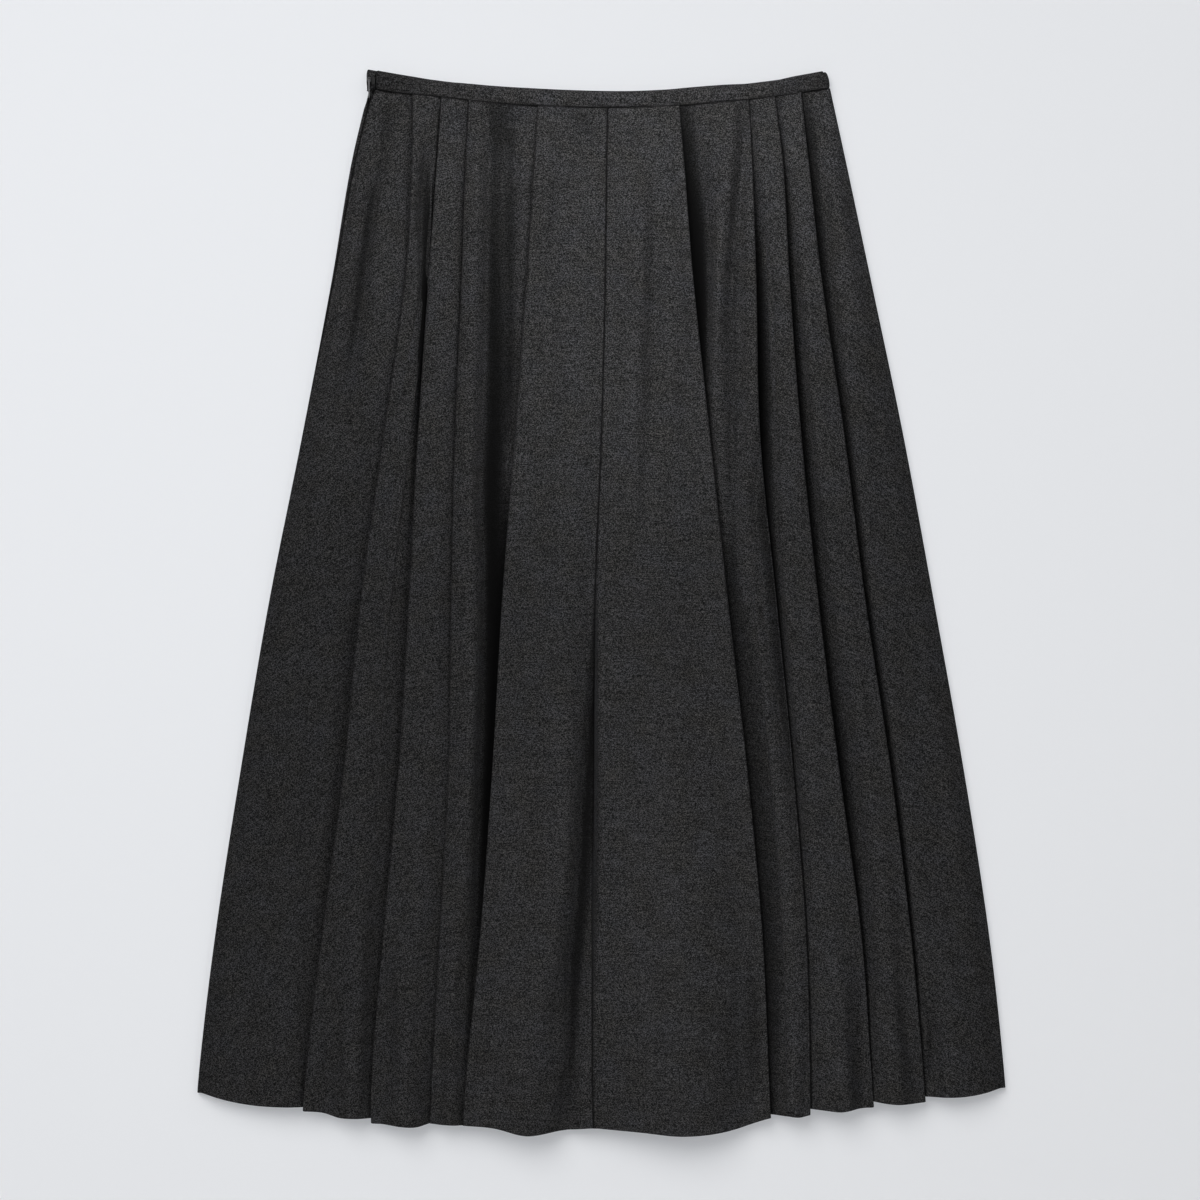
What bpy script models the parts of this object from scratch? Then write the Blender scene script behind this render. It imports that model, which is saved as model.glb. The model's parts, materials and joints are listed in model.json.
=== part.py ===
"""A pleated midi skirt, laid flat on a surface with its front up.

Metres, +Z up, +Y towards the waist, +X to the right as seen from above. The origin lies on the
surface under the middle of the skirt. The tables give millimetres. Each half of the front and of
the back is laid out from the centre seam to its side seam, so their distances run outwards.
"""

import math

import bmesh
import bpy
from mathutils import Vector

MM = 0.001
WELD_DISTANCE = 0.01 * MM

# Cloth, and how its layers lie on each other
WALL = 1.1 * MM
SEAM_GAP = 0.3 * MM
PITCH_AT_WAIST = 1.35 * MM  # middle of one layer to middle of the next, under the waistband
PITCH = 1.6 * MM  # the same where the pleats hang free
LOOSENING = 80 * MM  # length over which the pressed pleats open to the free pitch
PLEAT_LAYERS = 3
BACK_BASE = WALL / 2  # middle of the layer that lies on the surface
AIR = 2.2 * MM  # how far the loose front lies above the back's pressed pleats
AIR_FROM_WAIST = 60 * MM  # lengths over which the front comes to that height
AIR_FROM_SIDE = 28 * MM

# Waist and hem
WAIST_RADIUS = 1000 * MM  # of the arc that the waist seam makes when laid flat
WAIST_SEAM_LOW = 385.5 * MM  # lowest point of that arc
WAIST_MIDDLE = 3 * MM
BAND_WIDTH = 12.7 * MM
BAND_WIDTH_AT_ZIP = 14.6 * MM
ZIP_END_STARTS = -120 * MM  # from here to the zip the band widens
ZIP_END_LENGTH = 60 * MM
BAND_WALL = 3.6 * MM
BAND_EDGE = 0.9 * MM  # rounding of its pressed edges
BAND_RISE = 0.2 * MM  # how far the band's front stands over the middle of the pleats it holds
BAND_LEFT_FRONT = -175.7 * MM
BAND_LEFT_BACK = -183.2 * MM
BAND_RIGHT = 178.6 * MM
BAND_RIGHT_SLANT = 2.4 * MM  # how much further in the band's top edge turns back
BACK_HEM_MIDDLE = -400.5 * MM
BACK_HEM_LEFT = -382.6 * MM
BACK_HEM_RIGHT = -378.7 * MM
BACK_HEM_CURVE = 1.5  # power by which the back's hem rises to its ends
HEM_LEVEL = -400 * MM

# Side seams: how far each seam lies round the side roll, from the outermost line onto the front
WRAP_AT_TOP = 3.6 * MM
WRAP_AT_HEM = 0.6 * MM
WRAP_ENDS = 95 * MM  # height at which the left seam has moved out to the edge
OPENING_LOW = 388 * MM  # foot of the small V that the zip's slider keeps open
OPENING_HIGH = 399 * MM
OPENING_FRONT = 5.6 * MM
OPENING_BACK = -1.4 * MM

# Heights at which a line's distances are given, from the waist to the hem
LEVELS = (400, 340, 250, 130, 0, -130, -260, -370, -415)

# Distance out from the middle: centre seam, the four folded edges, side
FRONT_LEFT_LINES = (
    ("centre_seam", (-5, -4, -3, 0, 5, 6, 7, 7, 6)),
    ("pleat_1", (48, 52, 58, 67, 76, 84, 97, 108, 111)),
    ("pleat_2", (104, 107, 110, 116, 119, 120, 127, 133, 136)),
    ("pleat_3", (125, 129, 135, 144, 152, 161, 174, 180, 181)),
    ("pleat_4", (147, 148, 155, 170, 187, 200, 216, 230, 233)),
    ("side", (181, 195, 210, 233, 259, 281, 301, 314, 316)),
)
FRONT_RIGHT_LINES = (
    ("centre_seam", (5, 4, 3, 0, -5, -6, -7, -7, -6)),
    ("pleat_1", (59, 64, 71, 84, 98, 113, 125, 130, 132)),
    ("pleat_2", (114, 117, 120, 123, 136, 149, 159, 162, 162)),
    ("pleat_3", (134, 141, 147, 156, 169, 185, 203, 211, 214)),
    ("pleat_4", (155, 161, 171, 189, 205, 227, 244, 252, 254)),
    ("side", (179, 191, 210, 235, 259, 282, 302, 314, 316)),
)

# The back's pleats are pressed straight from waist to hem, in the front's average places
BACK_ENDS = (400, -415)
BACK_LINES = (
    ("centre", (0, 0)),
    ("pleat_1", (54, 121)),
    ("pleat_2", (109, 149)),
    ("pleat_3", (130, 197)),
    ("pleat_4", (151, 243)),
)

# Each pleat: how deep it folds under, at the waist and the hem
FRONT_LEFT_DEPTHS = ((18, 56), (16, 15), (13, 28), (14, 32))
FRONT_RIGHT_DEPTHS = ((18, 60), (17, 18), (13, 32), (13, 25))
BACK_DEPTHS = ((18, 50), (17, 17), (13, 30), (13, 28))

# Each pleat: how far its folded edge stands up from the pressed height, at these heights
LIFT_LEVELS = (400, 300, 100, -150, -330, -415)
FRONT_LEFT_LIFTS = (
    ("pleat_1", (0.2, 1.2, 3.2, 4.2, 2.6, 1.6)),
    ("pleat_2", (0.2, 1.0, 1.0, 1.0, 1.4, 1.6)),
    ("pleat_3", (0.2, 2.6, 1.2, 1.0, 1.4, 1.6)),
    ("pleat_4", (0.2, 1.0, 1.2, 1.4, 1.6, 1.6)),
)
FRONT_RIGHT_LIFTS = (
    ("pleat_1", (0.4, 4.0, 2.4, 5.0, 5.4, 3.0)),
    ("pleat_2", (0.2, 2.4, 3.0, 1.6, 1.2, 1.6)),
    ("pleat_3", (0.2, 1.6, 2.4, 2.8, 1.6, 1.6)),
    ("pleat_4", (0.2, 1.6, 2.2, 2.4, 1.4, 1.6)),
)

# Hem height of what lies folded between two panels, as shares of the way from the one's hem to
# the next one's: at the folded edge, at the hidden fold, and past it
EDGE_FALL = 0.25
UNDER_FALL = 0.6
HIDDEN_FALL = 0.75
CENTRE_START = 0.45  # share of the pleats' height at which the front lies along its centre seam

# Hem height of each panel from its inner to its outer edge, at even steps
FRONT_LEFT_HEMS = (
    ("centre", (-409.8, -411.8, -414.9, -409.5, -407.5)),
    ("panel_1", (-407.5, -407.3, -407.0, -406.8, -405.9)),
    ("panel_2", (-405.7, -408.6, -408.2, -406.7, -405.9)),
    ("panel_3", (-402.0, -402.0, -401.2, -397.4, -396.3)),
    ("side", (-393.2, -393.1, -391.8, -388.3, -382.6)),
)
FRONT_RIGHT_HEMS = (
    ("centre", (-409.8, -412.4, -415.1, -411.8, -402.0)),
    ("panel_1", (-399.2, -399.8, -400.3, -401.0, -399.5)),
    ("panel_2", (-394.6, -395.7, -396.6, -394.5, -393.5)),
    ("panel_3", (-388.8, -390.3, -391.0, -390.6, -389.6)),
    ("side", (-385.2, -385.7, -385.2, -383.0, -378.7)),
)

# Soft ridges and troughs of the front: the line they follow from (x, y) down to (x, y), their
# half widths there and their heights there, below zero for a trough
RIPPLES = (
    ("centre_right_flute", (16, 330), (58, -415), (20, 46), (0.8, 12.0)),
    ("centre_left_flute", (-30, 250), (-62, -415), (16, 26), (0.6, 10.0)),
    ("beside_centre_seam", (-8, 60), (-27, -415), (6, 11), (-1.2, -3.0)),
    ("right_of_centre", (34, 290), (42, 60), (10, 14), (-1.4, -0.8)),
    ("left_gather", (-83, 380), (-90, 80), (9, 12), (-2.0, -1.2)),
    ("right_gather", (101, 380), (108, 90), (8, 12), (-2.2, -1.2)),
    ("right_gather_crest", (88, 390), (93, 200), (8, 12), (2.0, 0.8)),
    ("left_side_trough", (-172, 370), (-204, 170), (7, 10), (-1.6, -0.8)),
    ("left_lobe_2", (-147, -180), (-156, -415), (12, 15), (0.6, 6.0)),
    ("left_lobe_3", (-186, -200), (-198, -415), (14, 18), (0.6, 5.0)),
    ("left_lobe_side", (-232, 0), (-266, -415), (26, 32), (0.8, 6.0)),
    ("right_lobe_2", (176, -180), (190, -415), (14, 18), (0.6, 6.5)),
    ("right_lobe_3", (216, -160), (236, -415), (12, 16), (0.6, 5.0)),
    ("right_lobe_side", (246, 0), (282, -415), (22, 26), (0.8, 5.5)),
)
RIPPLE_FADE = 0.22  # share of a ripple's length over which it dies away past each end

# Where the mesh's columns and rows lie
FRONT_COLUMNS = (8, 4, 4, 4, 5)  # steps across each panel from the centre outwards
BACK_COLUMNS = (2, 2, 2, 2, 2)
FRONT_FOLD_STEPS = (5, 3)  # round the folded edge, and round the fold hidden under it
BACK_FOLD_STEPS = (3, 2)
SIDE_RUN = 4.2 * MM  # length that the columns beside each side seam take
RIPPLES_START = 2 * MM  # distance round the side at which the ripples begin
SIDE_COLUMNS = (0.45, 0.9, 1)  # shares of the way round the side roll to the seam
ROWS = (0, 0.012, 0.028, 0.08, 0.17, 0.29, 0.43, 0.58, 0.72, 0.86, 1)
BACK_DROP = 9 * MM  # width over which a back panel comes down to the surface past a fold

# Zip
ZIP_WALL = 1.0 * MM
ZIP_TAPE_ROWS = (  # name, y, left edge, right edge, height of the middle
    ("top", 409.2, -182.8, -176.3, 4.5),
    ("band_foot", 402.4, -182.8, -176.3, 4.5),
    ("opening", 400.6, -182.8, -179.6, 4.4),
    ("opening_low", 399.0, -182.6, -180.9, 4.1),
    ("dip", 392.6, -179.6, -176.2, 2.9),
    ("below_opening", 384.0, -181.6, -176.2, 2.9),
    ("hip_high", 362.0, -187.0, -181.2, 2.9),
    ("hip", 330.0, -194.0, -188.0, 2.9),
    ("hip_low", 270.0, -203.8, -197.8, 2.9),
    ("foot", 214.0, -213.2, -207.2, 2.9),
)
SLIDER_LOW = Vector((-179.9, 402.6, 5.3)) * MM
SLIDER_HIGH = Vector((-176.0, 408.9, 8.7)) * MM
PULL_AXIS = Vector((-181.2, 407.0, 7.0)) * MM  # the hinge runs along Z through this point
BRIDGE_WINDOW = 1.8 * MM
BRIDGE_LEG = 0.8 * MM
BRIDGE_WALL = 1.2 * MM
PULL_WALL = 0.9 * MM
PULL_WIDTH = 3.2 * MM
PULL_LENGTH = 14.4 * MM  # from its hinge to its tip
PULL_SLOT = 1.6 * MM
PULL_SLOT_LENGTH = 3.2 * MM
SLIDER_ROUNDING = 0.5 * MM
BRIDGE_ROUNDING = 0.2 * MM
PULL_ROUNDING = 0.7 * MM
SLOT_ROUNDING = 0.3 * MM

CLOTH_COLOUR = (0.027, 0.027, 0.028)
TAPE_COLOUR = (0.018, 0.018, 0.019)
METAL_COLOUR = (0.12, 0.12, 0.125)


def blend(low, high, share):
    return low + (high - low) * share


def eased(share):
    share = min(max(share, 0.0), 1.0)
    return share * share * (3 - 2 * share)


def through(levels, values, at):
    """The value at a height, on a smooth curve through the values at falling levels."""
    last = len(levels) - 1

    def slope(i):
        before, after = max(i - 1, 0), min(i + 1, last)
        return (values[after] - values[before]) / (levels[after] - levels[before])

    i = 0
    while i < last - 1 and at < levels[i + 1]:
        i += 1
    step = levels[i + 1] - levels[i]
    t = (at - levels[i]) / step
    if not 0 <= t <= 1:
        end = 0 if t < 0 else last
        return values[end] + slope(end) * (at - levels[end])
    return (
        (2 * t**3 - 3 * t**2 + 1) * values[i]
        + (t**3 - 2 * t**2 + t) * step * slope(i)
        + (3 * t**2 - 2 * t**3) * values[i + 1]
        + (t**3 - t**2) * step * slope(i + 1)
    )


def zip_end(x):
    """How near a place on the waist is to its zip end, from 0 to 1."""
    return eased((ZIP_END_STARTS - x) / ZIP_END_LENGTH)


def waist_seam(x):
    """Height of the waist seam, an arc whose ends rise towards the sides."""
    arc = WAIST_SEAM_LOW + (x - WAIST_MIDDLE) ** 2 / (2 * WAIST_RADIUS)
    return arc - (BAND_WIDTH_AT_ZIP - BAND_WIDTH) * zip_end(x)


def pitch(y):
    """Distance from layer to layer: close under the waistband, wider where the pleats are free."""
    return blend(PITCH_AT_WAIST, PITCH, eased((waist_seam(0) - y) / LOOSENING))


def front_base(y):
    """Middle of the front's lowest layer, clear of the back's pressed pleats."""
    return WALL * 1.5 + (PLEAT_LAYERS - 1) * pitch(y) + SEAM_GAP


def air(y, inset):
    """How far the front lies above its pressed height, at a distance in from the side."""
    from_waist = eased((waist_seam(0) - y) / AIR_FROM_WAIST)
    return AIR * from_waist * eased(inset / AIR_FROM_SIDE)


def ripple(x, y):
    """Height of the front's soft ridges and troughs at a place."""
    total = 0.0
    for _name, (x_top, y_top), (x_low, y_low), widths, heights in RIPPLES:
        along = (y_top * MM - y) / ((y_top - y_low) * MM)
        beyond = max(-along, along - 1, 0)
        share = min(max(along, 0), 1)
        across = (x - blend(x_top, x_low, along) * MM) / (blend(*widths, share) * MM)
        fade = eased(1 - beyond / RIPPLE_FADE)
        total += blend(*heights, share) * MM * fade * math.exp(-(across**2))
    return total


def side_wrap(hand, y):
    """Where the two side edges lie round the roll: how far the front's and the back's reach."""
    seam = WRAP_AT_HEM
    if hand < 0:
        seam = blend(WRAP_AT_HEM, WRAP_AT_TOP, eased((y - WRAP_ENDS) / (OPENING_LOW - WRAP_ENDS)))
    front, back = seam + SEAM_GAP / 2, seam - SEAM_GAP / 2
    if hand < 0:
        opening = eased((y - OPENING_LOW) / (OPENING_HIGH - OPENING_LOW))
        front, back = blend(front, OPENING_FRONT, opening), blend(back, OPENING_BACK, opening)
    return front, back


def side_roll(reach, y):
    """How far in and how high a point lies that is a given length round the side from its edge."""
    radius = (front_base(y) - BACK_BASE) / 2
    quarter = radius * math.pi / 2
    middle = BACK_BASE + radius
    if abs(reach) <= quarter:
        turn = reach / radius
        return radius * (1 - math.cos(turn)), middle + radius * math.sin(turn)
    return radius + abs(reach) - quarter, middle + math.copysign(radius, reach)


class Half:
    """One half of the front or the back, laid out from the centre to its side seam."""

    def __init__(self, hand, lines, depths, lifts, hems, is_front):
        self.hand = hand
        self.lines = lines
        self.depths = depths
        self.lifts = lifts
        self.hems = hems
        self.is_front = is_front

    def line(self, number, y):
        values = self.lines[number][1]
        levels = LEVELS if len(values) == len(LEVELS) else BACK_ENDS
        return through(levels, values, y / MM) * MM

    def depth(self, fold, v):
        return blend(*self.depths[fold - 1], v) * MM

    def lift(self, fold, y):
        return through(LIFT_LEVELS, self.lifts[fold - 1][1], y / MM) * MM if self.is_front else 0.0

    def hem(self, panel, share, x):
        if not self.is_front:
            side = BACK_HEM_LEFT if x < 0 else BACK_HEM_RIGHT
            return blend(BACK_HEM_MIDDLE, side, abs(x / self.line(-1, HEM_LEVEL)) ** BACK_HEM_CURVE)
        values = self.hems[panel][1]
        steps = tuple(-step / (len(values) - 1) for step in range(len(values)))
        return through(steps, values, -share) * MM

    def height(self, level, x, y):
        """Middle of the cloth at a level, counted in layers up from the pleats' hidden one."""
        if self.is_front:
            loose = air(y, self.line(-1, y) - abs(x))
            return front_base(y) + level * pitch(y) + loose + max(ripple(x, y), -loose)
        return BACK_BASE + (PLEAT_LAYERS - 1 - level) * pitch(y)

    def waist_place(self, number):
        """How far out a line meets the waist seam."""
        out = self.line(number, WAIST_SEAM_LOW)
        return self.line(number, waist_seam(self.hand * out))

    def along(self, panel, share, v, fall=0.0, inward=0.0):
        """Height y of a point at a share of a panel's width and a share v of its length. fall
        moves it towards the next panel's hem, for what lies folded between the two, and inward
        is how far from the fold it lies at the waist."""
        at_waist = blend(self.waist_place(panel), self.waist_place(panel + 1), share) - inward
        at_hem = blend(self.line(panel, HEM_LEVEL), self.line(panel + 1, HEM_LEVEL), share)
        top = waist_seam(self.hand * at_waist) - SEAM_GAP
        low = self.hem(panel, share, self.hand * at_hem)
        if fall:
            low = blend(low, self.hem(panel + 1, 0, self.hand * at_hem), fall)
        return blend(top, low, v)

    def point(self, out, level, y, extra=0.0):
        x = self.hand * out
        return Vector((x, y, self.height(level, x, y) + extra))

    def on_panel(self, panel, share, v):
        """A point on a panel's open width, from the fold it comes out of to its own fold."""
        if panel == len(self.lines) - 2:
            return self.on_side_panel(panel, share, v)
        y = self.along(panel, share, v)
        inner = self.line(panel, y) + (SEAM_GAP / 2 if panel == 0 and self.is_front else 0)
        fold = panel + 1
        edge = self.line(fold, y)
        outer = edge - self.fold_radius(fold, y)
        out = blend(inner, outer, share)
        if self.is_front:
            risen_at = edge - self.depth(fold, v) - pitch(y)
            start = CENTRE_START if panel == 0 else 0.0
        else:
            risen_at = inner + (0 if panel == 0 else BACK_DROP)
            start = 1.0 if panel == 0 else 0.0
        rise = eased((out - inner) / max(risen_at - inner, 1e-6)) if out > inner else 0.0
        level = (PLEAT_LAYERS - 1) * blend(start, 1, rise)
        width = max(edge - inner, 1e-6)
        crest = self.lift(fold, y) * eased(1 - (edge - out) / width)
        return self.point(out, level, y, crest)

    def on_side_panel(self, panel, share, v):
        """A point between the outermost fold and the start of the side roll."""
        inset = self.roll_inset(self.along(panel, share, v))
        y = self.along(panel, share, v, inward=inset * share)
        inner = self.line(panel, y)
        out = blend(inner, self.line(-1, y) - inset, share)
        level = 0.0
        if not self.is_front:
            level = (PLEAT_LAYERS - 1) * eased((out - inner) / BACK_DROP)
        return self.point(out, level, y, 0.0)

    def roll_start(self, y):
        """Length round the roll at which the side panel gives way to the side's own columns."""
        front, back = side_wrap(self.hand, y)
        return (front if self.is_front else -back) + SIDE_RUN

    def roll_inset(self, y):
        reach = self.roll_start(y)
        return side_roll(reach if self.is_front else -reach, y)[0]

    def on_side(self, share, v):
        """A point on the side roll, from the side panel to the seam."""
        y, inset = self.along(len(self.lines) - 2, 1, v), 0.0
        for _pass in range(2):
            y = self.along(len(self.lines) - 2, 1, v, inward=inset)
            front, back = side_wrap(self.hand, y)
            start = self.roll_start(y)
            reach = blend(start, front, share) if self.is_front else blend(-start, back, share)
            inset, height = side_roll(reach, y)
        x = self.hand * (self.line(-1, y) - inset)
        raised = ripple(x, y) * eased((reach - RIPPLES_START) / SIDE_RUN) if self.is_front else 0.0
        return Vector((x, y, height + raised))

    def fold_radius(self, fold, y):
        return (pitch(y) + self.lift(fold, y)) / 2

    def on_outer_fold(self, fold, turn, v):
        """A point on a pleat's folded edge, turned from its top layer to the layer below."""
        y = self.along(fold - 1, 1, v, fall=EDGE_FALL * turn)
        radius = self.fold_radius(fold, y)
        angle = math.pi * (0.5 - turn)
        out = self.line(fold, y) - radius * (1 - math.cos(angle))
        x = self.hand * out
        upper = self.height(PLEAT_LAYERS - 1, x, y) + self.lift(fold, y)
        lower = self.height(PLEAT_LAYERS - 2, x, y)
        return Vector((x, y, blend(lower, upper, (1 + math.sin(angle)) / 2)))

    def on_under_layer(self, fold, share, v):
        """A point on the layer that runs back under the pleat, from its edge to its inner fold."""
        inward = self.depth(fold, 0) * share
        y = self.along(fold - 1, 1, v, fall=blend(EDGE_FALL, UNDER_FALL, share), inward=inward)
        edge = self.line(fold, y)
        start = edge - self.fold_radius(fold, y)
        end = edge - self.depth(fold, v) + pitch(y) / 2
        return self.point(blend(start, end, share), PLEAT_LAYERS - 2, y)

    def on_inner_fold(self, fold, turn, v):
        """A point on the hidden fold, turned from the layer below to the lowest one."""
        inward = self.depth(fold, 0)
        y = self.along(fold - 1, 1, v, fall=blend(UNDER_FALL, HIDDEN_FALL, turn), inward=inward)
        angle = math.pi * (0.5 + turn)
        out = self.line(fold, y) - self.depth(fold, v) + pitch(y) / 2 * (1 + math.cos(angle))
        return self.point(out, (PLEAT_LAYERS - 2) * (1 + math.sin(angle)) / 2, y)

    def on_hidden_part(self, fold, share, v):
        """A point on the lowest layer, from the hidden fold out to where the panel shows."""
        inward = self.depth(fold, 0) * (1 - share)
        y = self.along(fold - 1, 1, v, fall=blend(HIDDEN_FALL, 1, share), inward=inward)
        edge = self.line(fold, y)
        start = edge - self.depth(fold, v) + pitch(y) / 2
        return self.point(blend(start, edge, share), 0, y)

    def columns(self, panel_columns, fold_steps):
        """The places across the half that the mesh's columns follow, from centre to side."""
        outer_steps, inner_steps = fold_steps
        places = []
        for panel, count in enumerate(panel_columns):
            if panel:
                places += [(self.on_hidden_part, panel, 0.5)]
            places += [(self.on_panel, panel, step / count) for step in range(count + 1)]
            if panel == len(panel_columns) - 1:
                break
            fold = panel + 1
            turns = [(step + 1) / outer_steps for step in range(outer_steps)]
            places += [(self.on_outer_fold, fold, turn) for turn in turns]
            places += [(self.on_under_layer, fold, 0.5)]
            turns = [step / inner_steps for step in range(inner_steps + 1)]
            places += [(self.on_inner_fold, fold, turn) for turn in turns]
        places += [(self.on_side, share) for share in SIDE_COLUMNS]
        return places


def sheet(name, columns, rows, wall, material, collection):
    """A cloth piece: a grid whose points are placed by its columns and rows, given a wall."""
    mesh = bmesh.new()
    wide, long = len(columns) - 1, len(rows) - 1
    bmesh.ops.create_grid(mesh, x_segments=wide, y_segments=long, size=0.5)
    for vertex in mesh.verts:
        column = columns[round((vertex.co.x + 0.5) * wide)]
        row = rows[round((0.5 - vertex.co.y) * long)]
        place, *where = column
        vertex.co = place(*where, row)
    piece = add_object(name, mesh, material, collection)
    solidify = piece.modifiers.new("Wall", "SOLIDIFY")
    solidify.thickness = wall
    solidify.offset = 0
    solidify.use_even_offset = True
    return piece


def add_object(name, mesh, material, collection):
    data = bpy.data.meshes.new(name)
    mesh.to_mesh(data)
    mesh.free()
    data.shade_smooth()
    piece = bpy.data.objects.new(name, data)
    if material:
        data.materials.append(material)
    collection.objects.link(piece)
    return piece


def make_material(name, colour, roughness, metallic):
    material = bpy.data.materials.new(name)
    material.use_nodes = True
    shader = material.node_tree.nodes["Principled BSDF"]
    shader.inputs["Base Color"].default_value = (*colour, 1)
    shader.inputs["Roughness"].default_value = roughness
    shader.inputs["Metallic"].default_value = metallic
    return material


def make_fronts(material, collection):
    sides = (
        ("front_left", -1, FRONT_LEFT_LINES, FRONT_LEFT_DEPTHS, FRONT_LEFT_LIFTS, FRONT_LEFT_HEMS),
        ("front_right", 1, FRONT_RIGHT_LINES, FRONT_RIGHT_DEPTHS, FRONT_RIGHT_LIFTS, FRONT_RIGHT_HEMS),
    )
    for name, hand, lines, depths, lifts, hems in sides:
        half = Half(hand, lines, depths, lifts, hems, is_front=True)
        columns = half.columns(FRONT_COLUMNS, FRONT_FOLD_STEPS)
        sheet(name, columns, ROWS, WALL, material, collection)


def make_back(material, collection):
    """One panel from side seam to side seam, its pleats pressed flat under it."""
    halves = [
        Half(hand, (*BACK_LINES, front_lines[-1]), BACK_DEPTHS, None, None, is_front=False)
        for hand, front_lines in ((-1, FRONT_LEFT_LINES), (1, FRONT_RIGHT_LINES))
    ]
    left, right = (half.columns(BACK_COLUMNS, BACK_FOLD_STEPS) for half in halves)
    sheet("back", left[::-1] + right[1:], ROWS, WALL, material, collection)


def band_point(run, share):
    """A point of the waistband's middle surface: run goes from the zip along the front, round
    the right side and along the back, and share from its seam up to its top edge."""
    front_height = front_base(waist_seam(0)) + (PLEAT_LAYERS - 1) * PITCH_AT_WAIST / 2 + BAND_RISE
    back_height = BAND_WALL / 2
    radius = (front_height - back_height) / 2
    right = BAND_RIGHT - BAND_RIGHT_SLANT * share - BAND_WALL / 2 - radius
    part, along = run
    if part == "front":
        x, z = blend(BAND_LEFT_FRONT, right, along), front_height
    elif part == "turn":
        angle = math.pi * (0.5 - along)
        x, z = right + radius * math.cos(angle), back_height + radius * (1 + math.sin(angle))
    else:
        x, z = blend(right, BAND_LEFT_BACK, along), back_height
    width = blend(BAND_WIDTH, BAND_WIDTH_AT_ZIP, zip_end(x))
    return Vector((x, waist_seam(x) + width * share, z))


def make_waistband(material, collection):
    length_steps, turn_steps = 16, 6
    columns = [(band_point, ("front", step / length_steps)) for step in range(length_steps + 1)]
    columns += [(band_point, ("turn", step / turn_steps)) for step in range(1, turn_steps + 1)]
    columns += [(band_point, ("back", step / length_steps)) for step in range(1, length_steps + 1)]
    band = sheet("waistband", columns, (1, 0.5, 0), BAND_WALL, material, collection)
    bevel = band.modifiers.new("Pressed edges", "BEVEL")
    bevel.width = BAND_EDGE
    bevel.segments = 2
    bevel.limit_method = "ANGLE"
    bevel.angle_limit = math.radians(60)


def tape_point(share, row):
    _name, y, left, right, height = row
    return Vector((blend(left, right, share), y, height)) * MM


def make_zip_tape(material, collection):
    columns = [(tape_point, share) for share in (0, 0.5, 1)]
    sheet("zip_tape", columns, ZIP_TAPE_ROWS, ZIP_WALL, material, collection)


def block(name, low, high, rounding, material, collection):
    """A box between two corners with its edges rounded."""
    mesh = bmesh.new()
    bmesh.ops.create_cube(mesh, size=1)
    bmesh.ops.scale(mesh, vec=high - low, verts=mesh.verts)
    bmesh.ops.translate(mesh, vec=(low + high) / 2, verts=mesh.verts)
    piece = add_object(name, mesh, material, collection)
    if rounding:
        bevel = piece.modifiers.new("Rounding", "BEVEL")
        bevel.width = rounding
        bevel.segments = 2
    return piece


def combine(piece, other, operation):
    boolean = piece.modifiers.new(operation.title(), "BOOLEAN")
    boolean.operation = operation
    boolean.object = other


def make_zip_slider(material, collection, cutters):
    """The slider's body with the bridge that its pull tab hangs in."""
    slider = block("zip_slider", SLIDER_LOW, SLIDER_HIGH, SLIDER_ROUNDING, material, collection)
    half_window = BRIDGE_WINDOW / 2
    reach = half_window + BRIDGE_LEG
    inside = SLIDER_LOW.x + BRIDGE_LEG - PULL_AXIS.x
    half_wall = BRIDGE_WALL / 2
    bridge_low = PULL_AXIS - Vector((reach, reach, half_wall))
    bridge_high = PULL_AXIS + Vector((inside, reach, half_wall))
    bridge = block("bridge", bridge_low, bridge_high, BRIDGE_ROUNDING, None, cutters)
    window = Vector((half_window, half_window, BRIDGE_WALL))
    hole = block("bridge_window", PULL_AXIS - window, PULL_AXIS + window, 0, None, cutters)
    combine(slider, bridge, "UNION")
    combine(slider, hole, "DIFFERENCE")
    for helper in (bridge, hole):
        helper.hide_render = True
        helper.display_type = "WIRE"


def rounded_outline(curve, low, high, radius):
    """A closed spline round a rectangle with round corners, in the curve's own plane."""
    corner_steps = 3
    corners = (
        (high[0] - radius, high[1] - radius, 0),
        (low[0] + radius, high[1] - radius, 90),
        (low[0] + radius, low[1] + radius, 180),
        (high[0] - radius, low[1] + radius, 270),
    )
    places = []
    for x, y, start in corners:
        for step in range(corner_steps + 1):
            angle = math.radians(start + 90 * step / corner_steps)
            places.append((x + radius * math.cos(angle), y + radius * math.sin(angle), 0, 1))
    spline = curve.splines.new("POLY")
    spline.points.add(len(places) - 1)
    for point, place in zip(spline.points, places):
        point.co = place
    spline.use_cyclic_u = True


def make_zip_pull(material, collection):
    """A flat tab with a slot whose upper bar hangs in the slider's bridge. Its object's origin
    is on the hinge, and its flat side faces -X."""
    curve = bpy.data.curves.new("zip_pull", "CURVE")
    curve.dimensions = "2D"
    curve.fill_mode = "BOTH"
    curve.extrude = PULL_WALL / 2
    bar = PULL_WALL / 2
    half_width, half_slot = PULL_WIDTH / 2, PULL_SLOT / 2
    rounded_outline(curve, (-half_width, -PULL_LENGTH), (half_width, bar), PULL_ROUNDING)
    slot_low = -bar - PULL_SLOT_LENGTH
    rounded_outline(curve, (-half_slot, slot_low), (half_slot, -bar), SLOT_ROUNDING)
    curve.materials.append(material)
    pull = bpy.data.objects.new("zip_pull", curve)
    pull.location = PULL_AXIS
    pull.rotation_euler = (0, -math.pi / 2, 0)
    collection.objects.link(pull)
    weld = pull.modifiers.new("Caps", "WELD")
    weld.merge_threshold = WELD_DISTANCE


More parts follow.
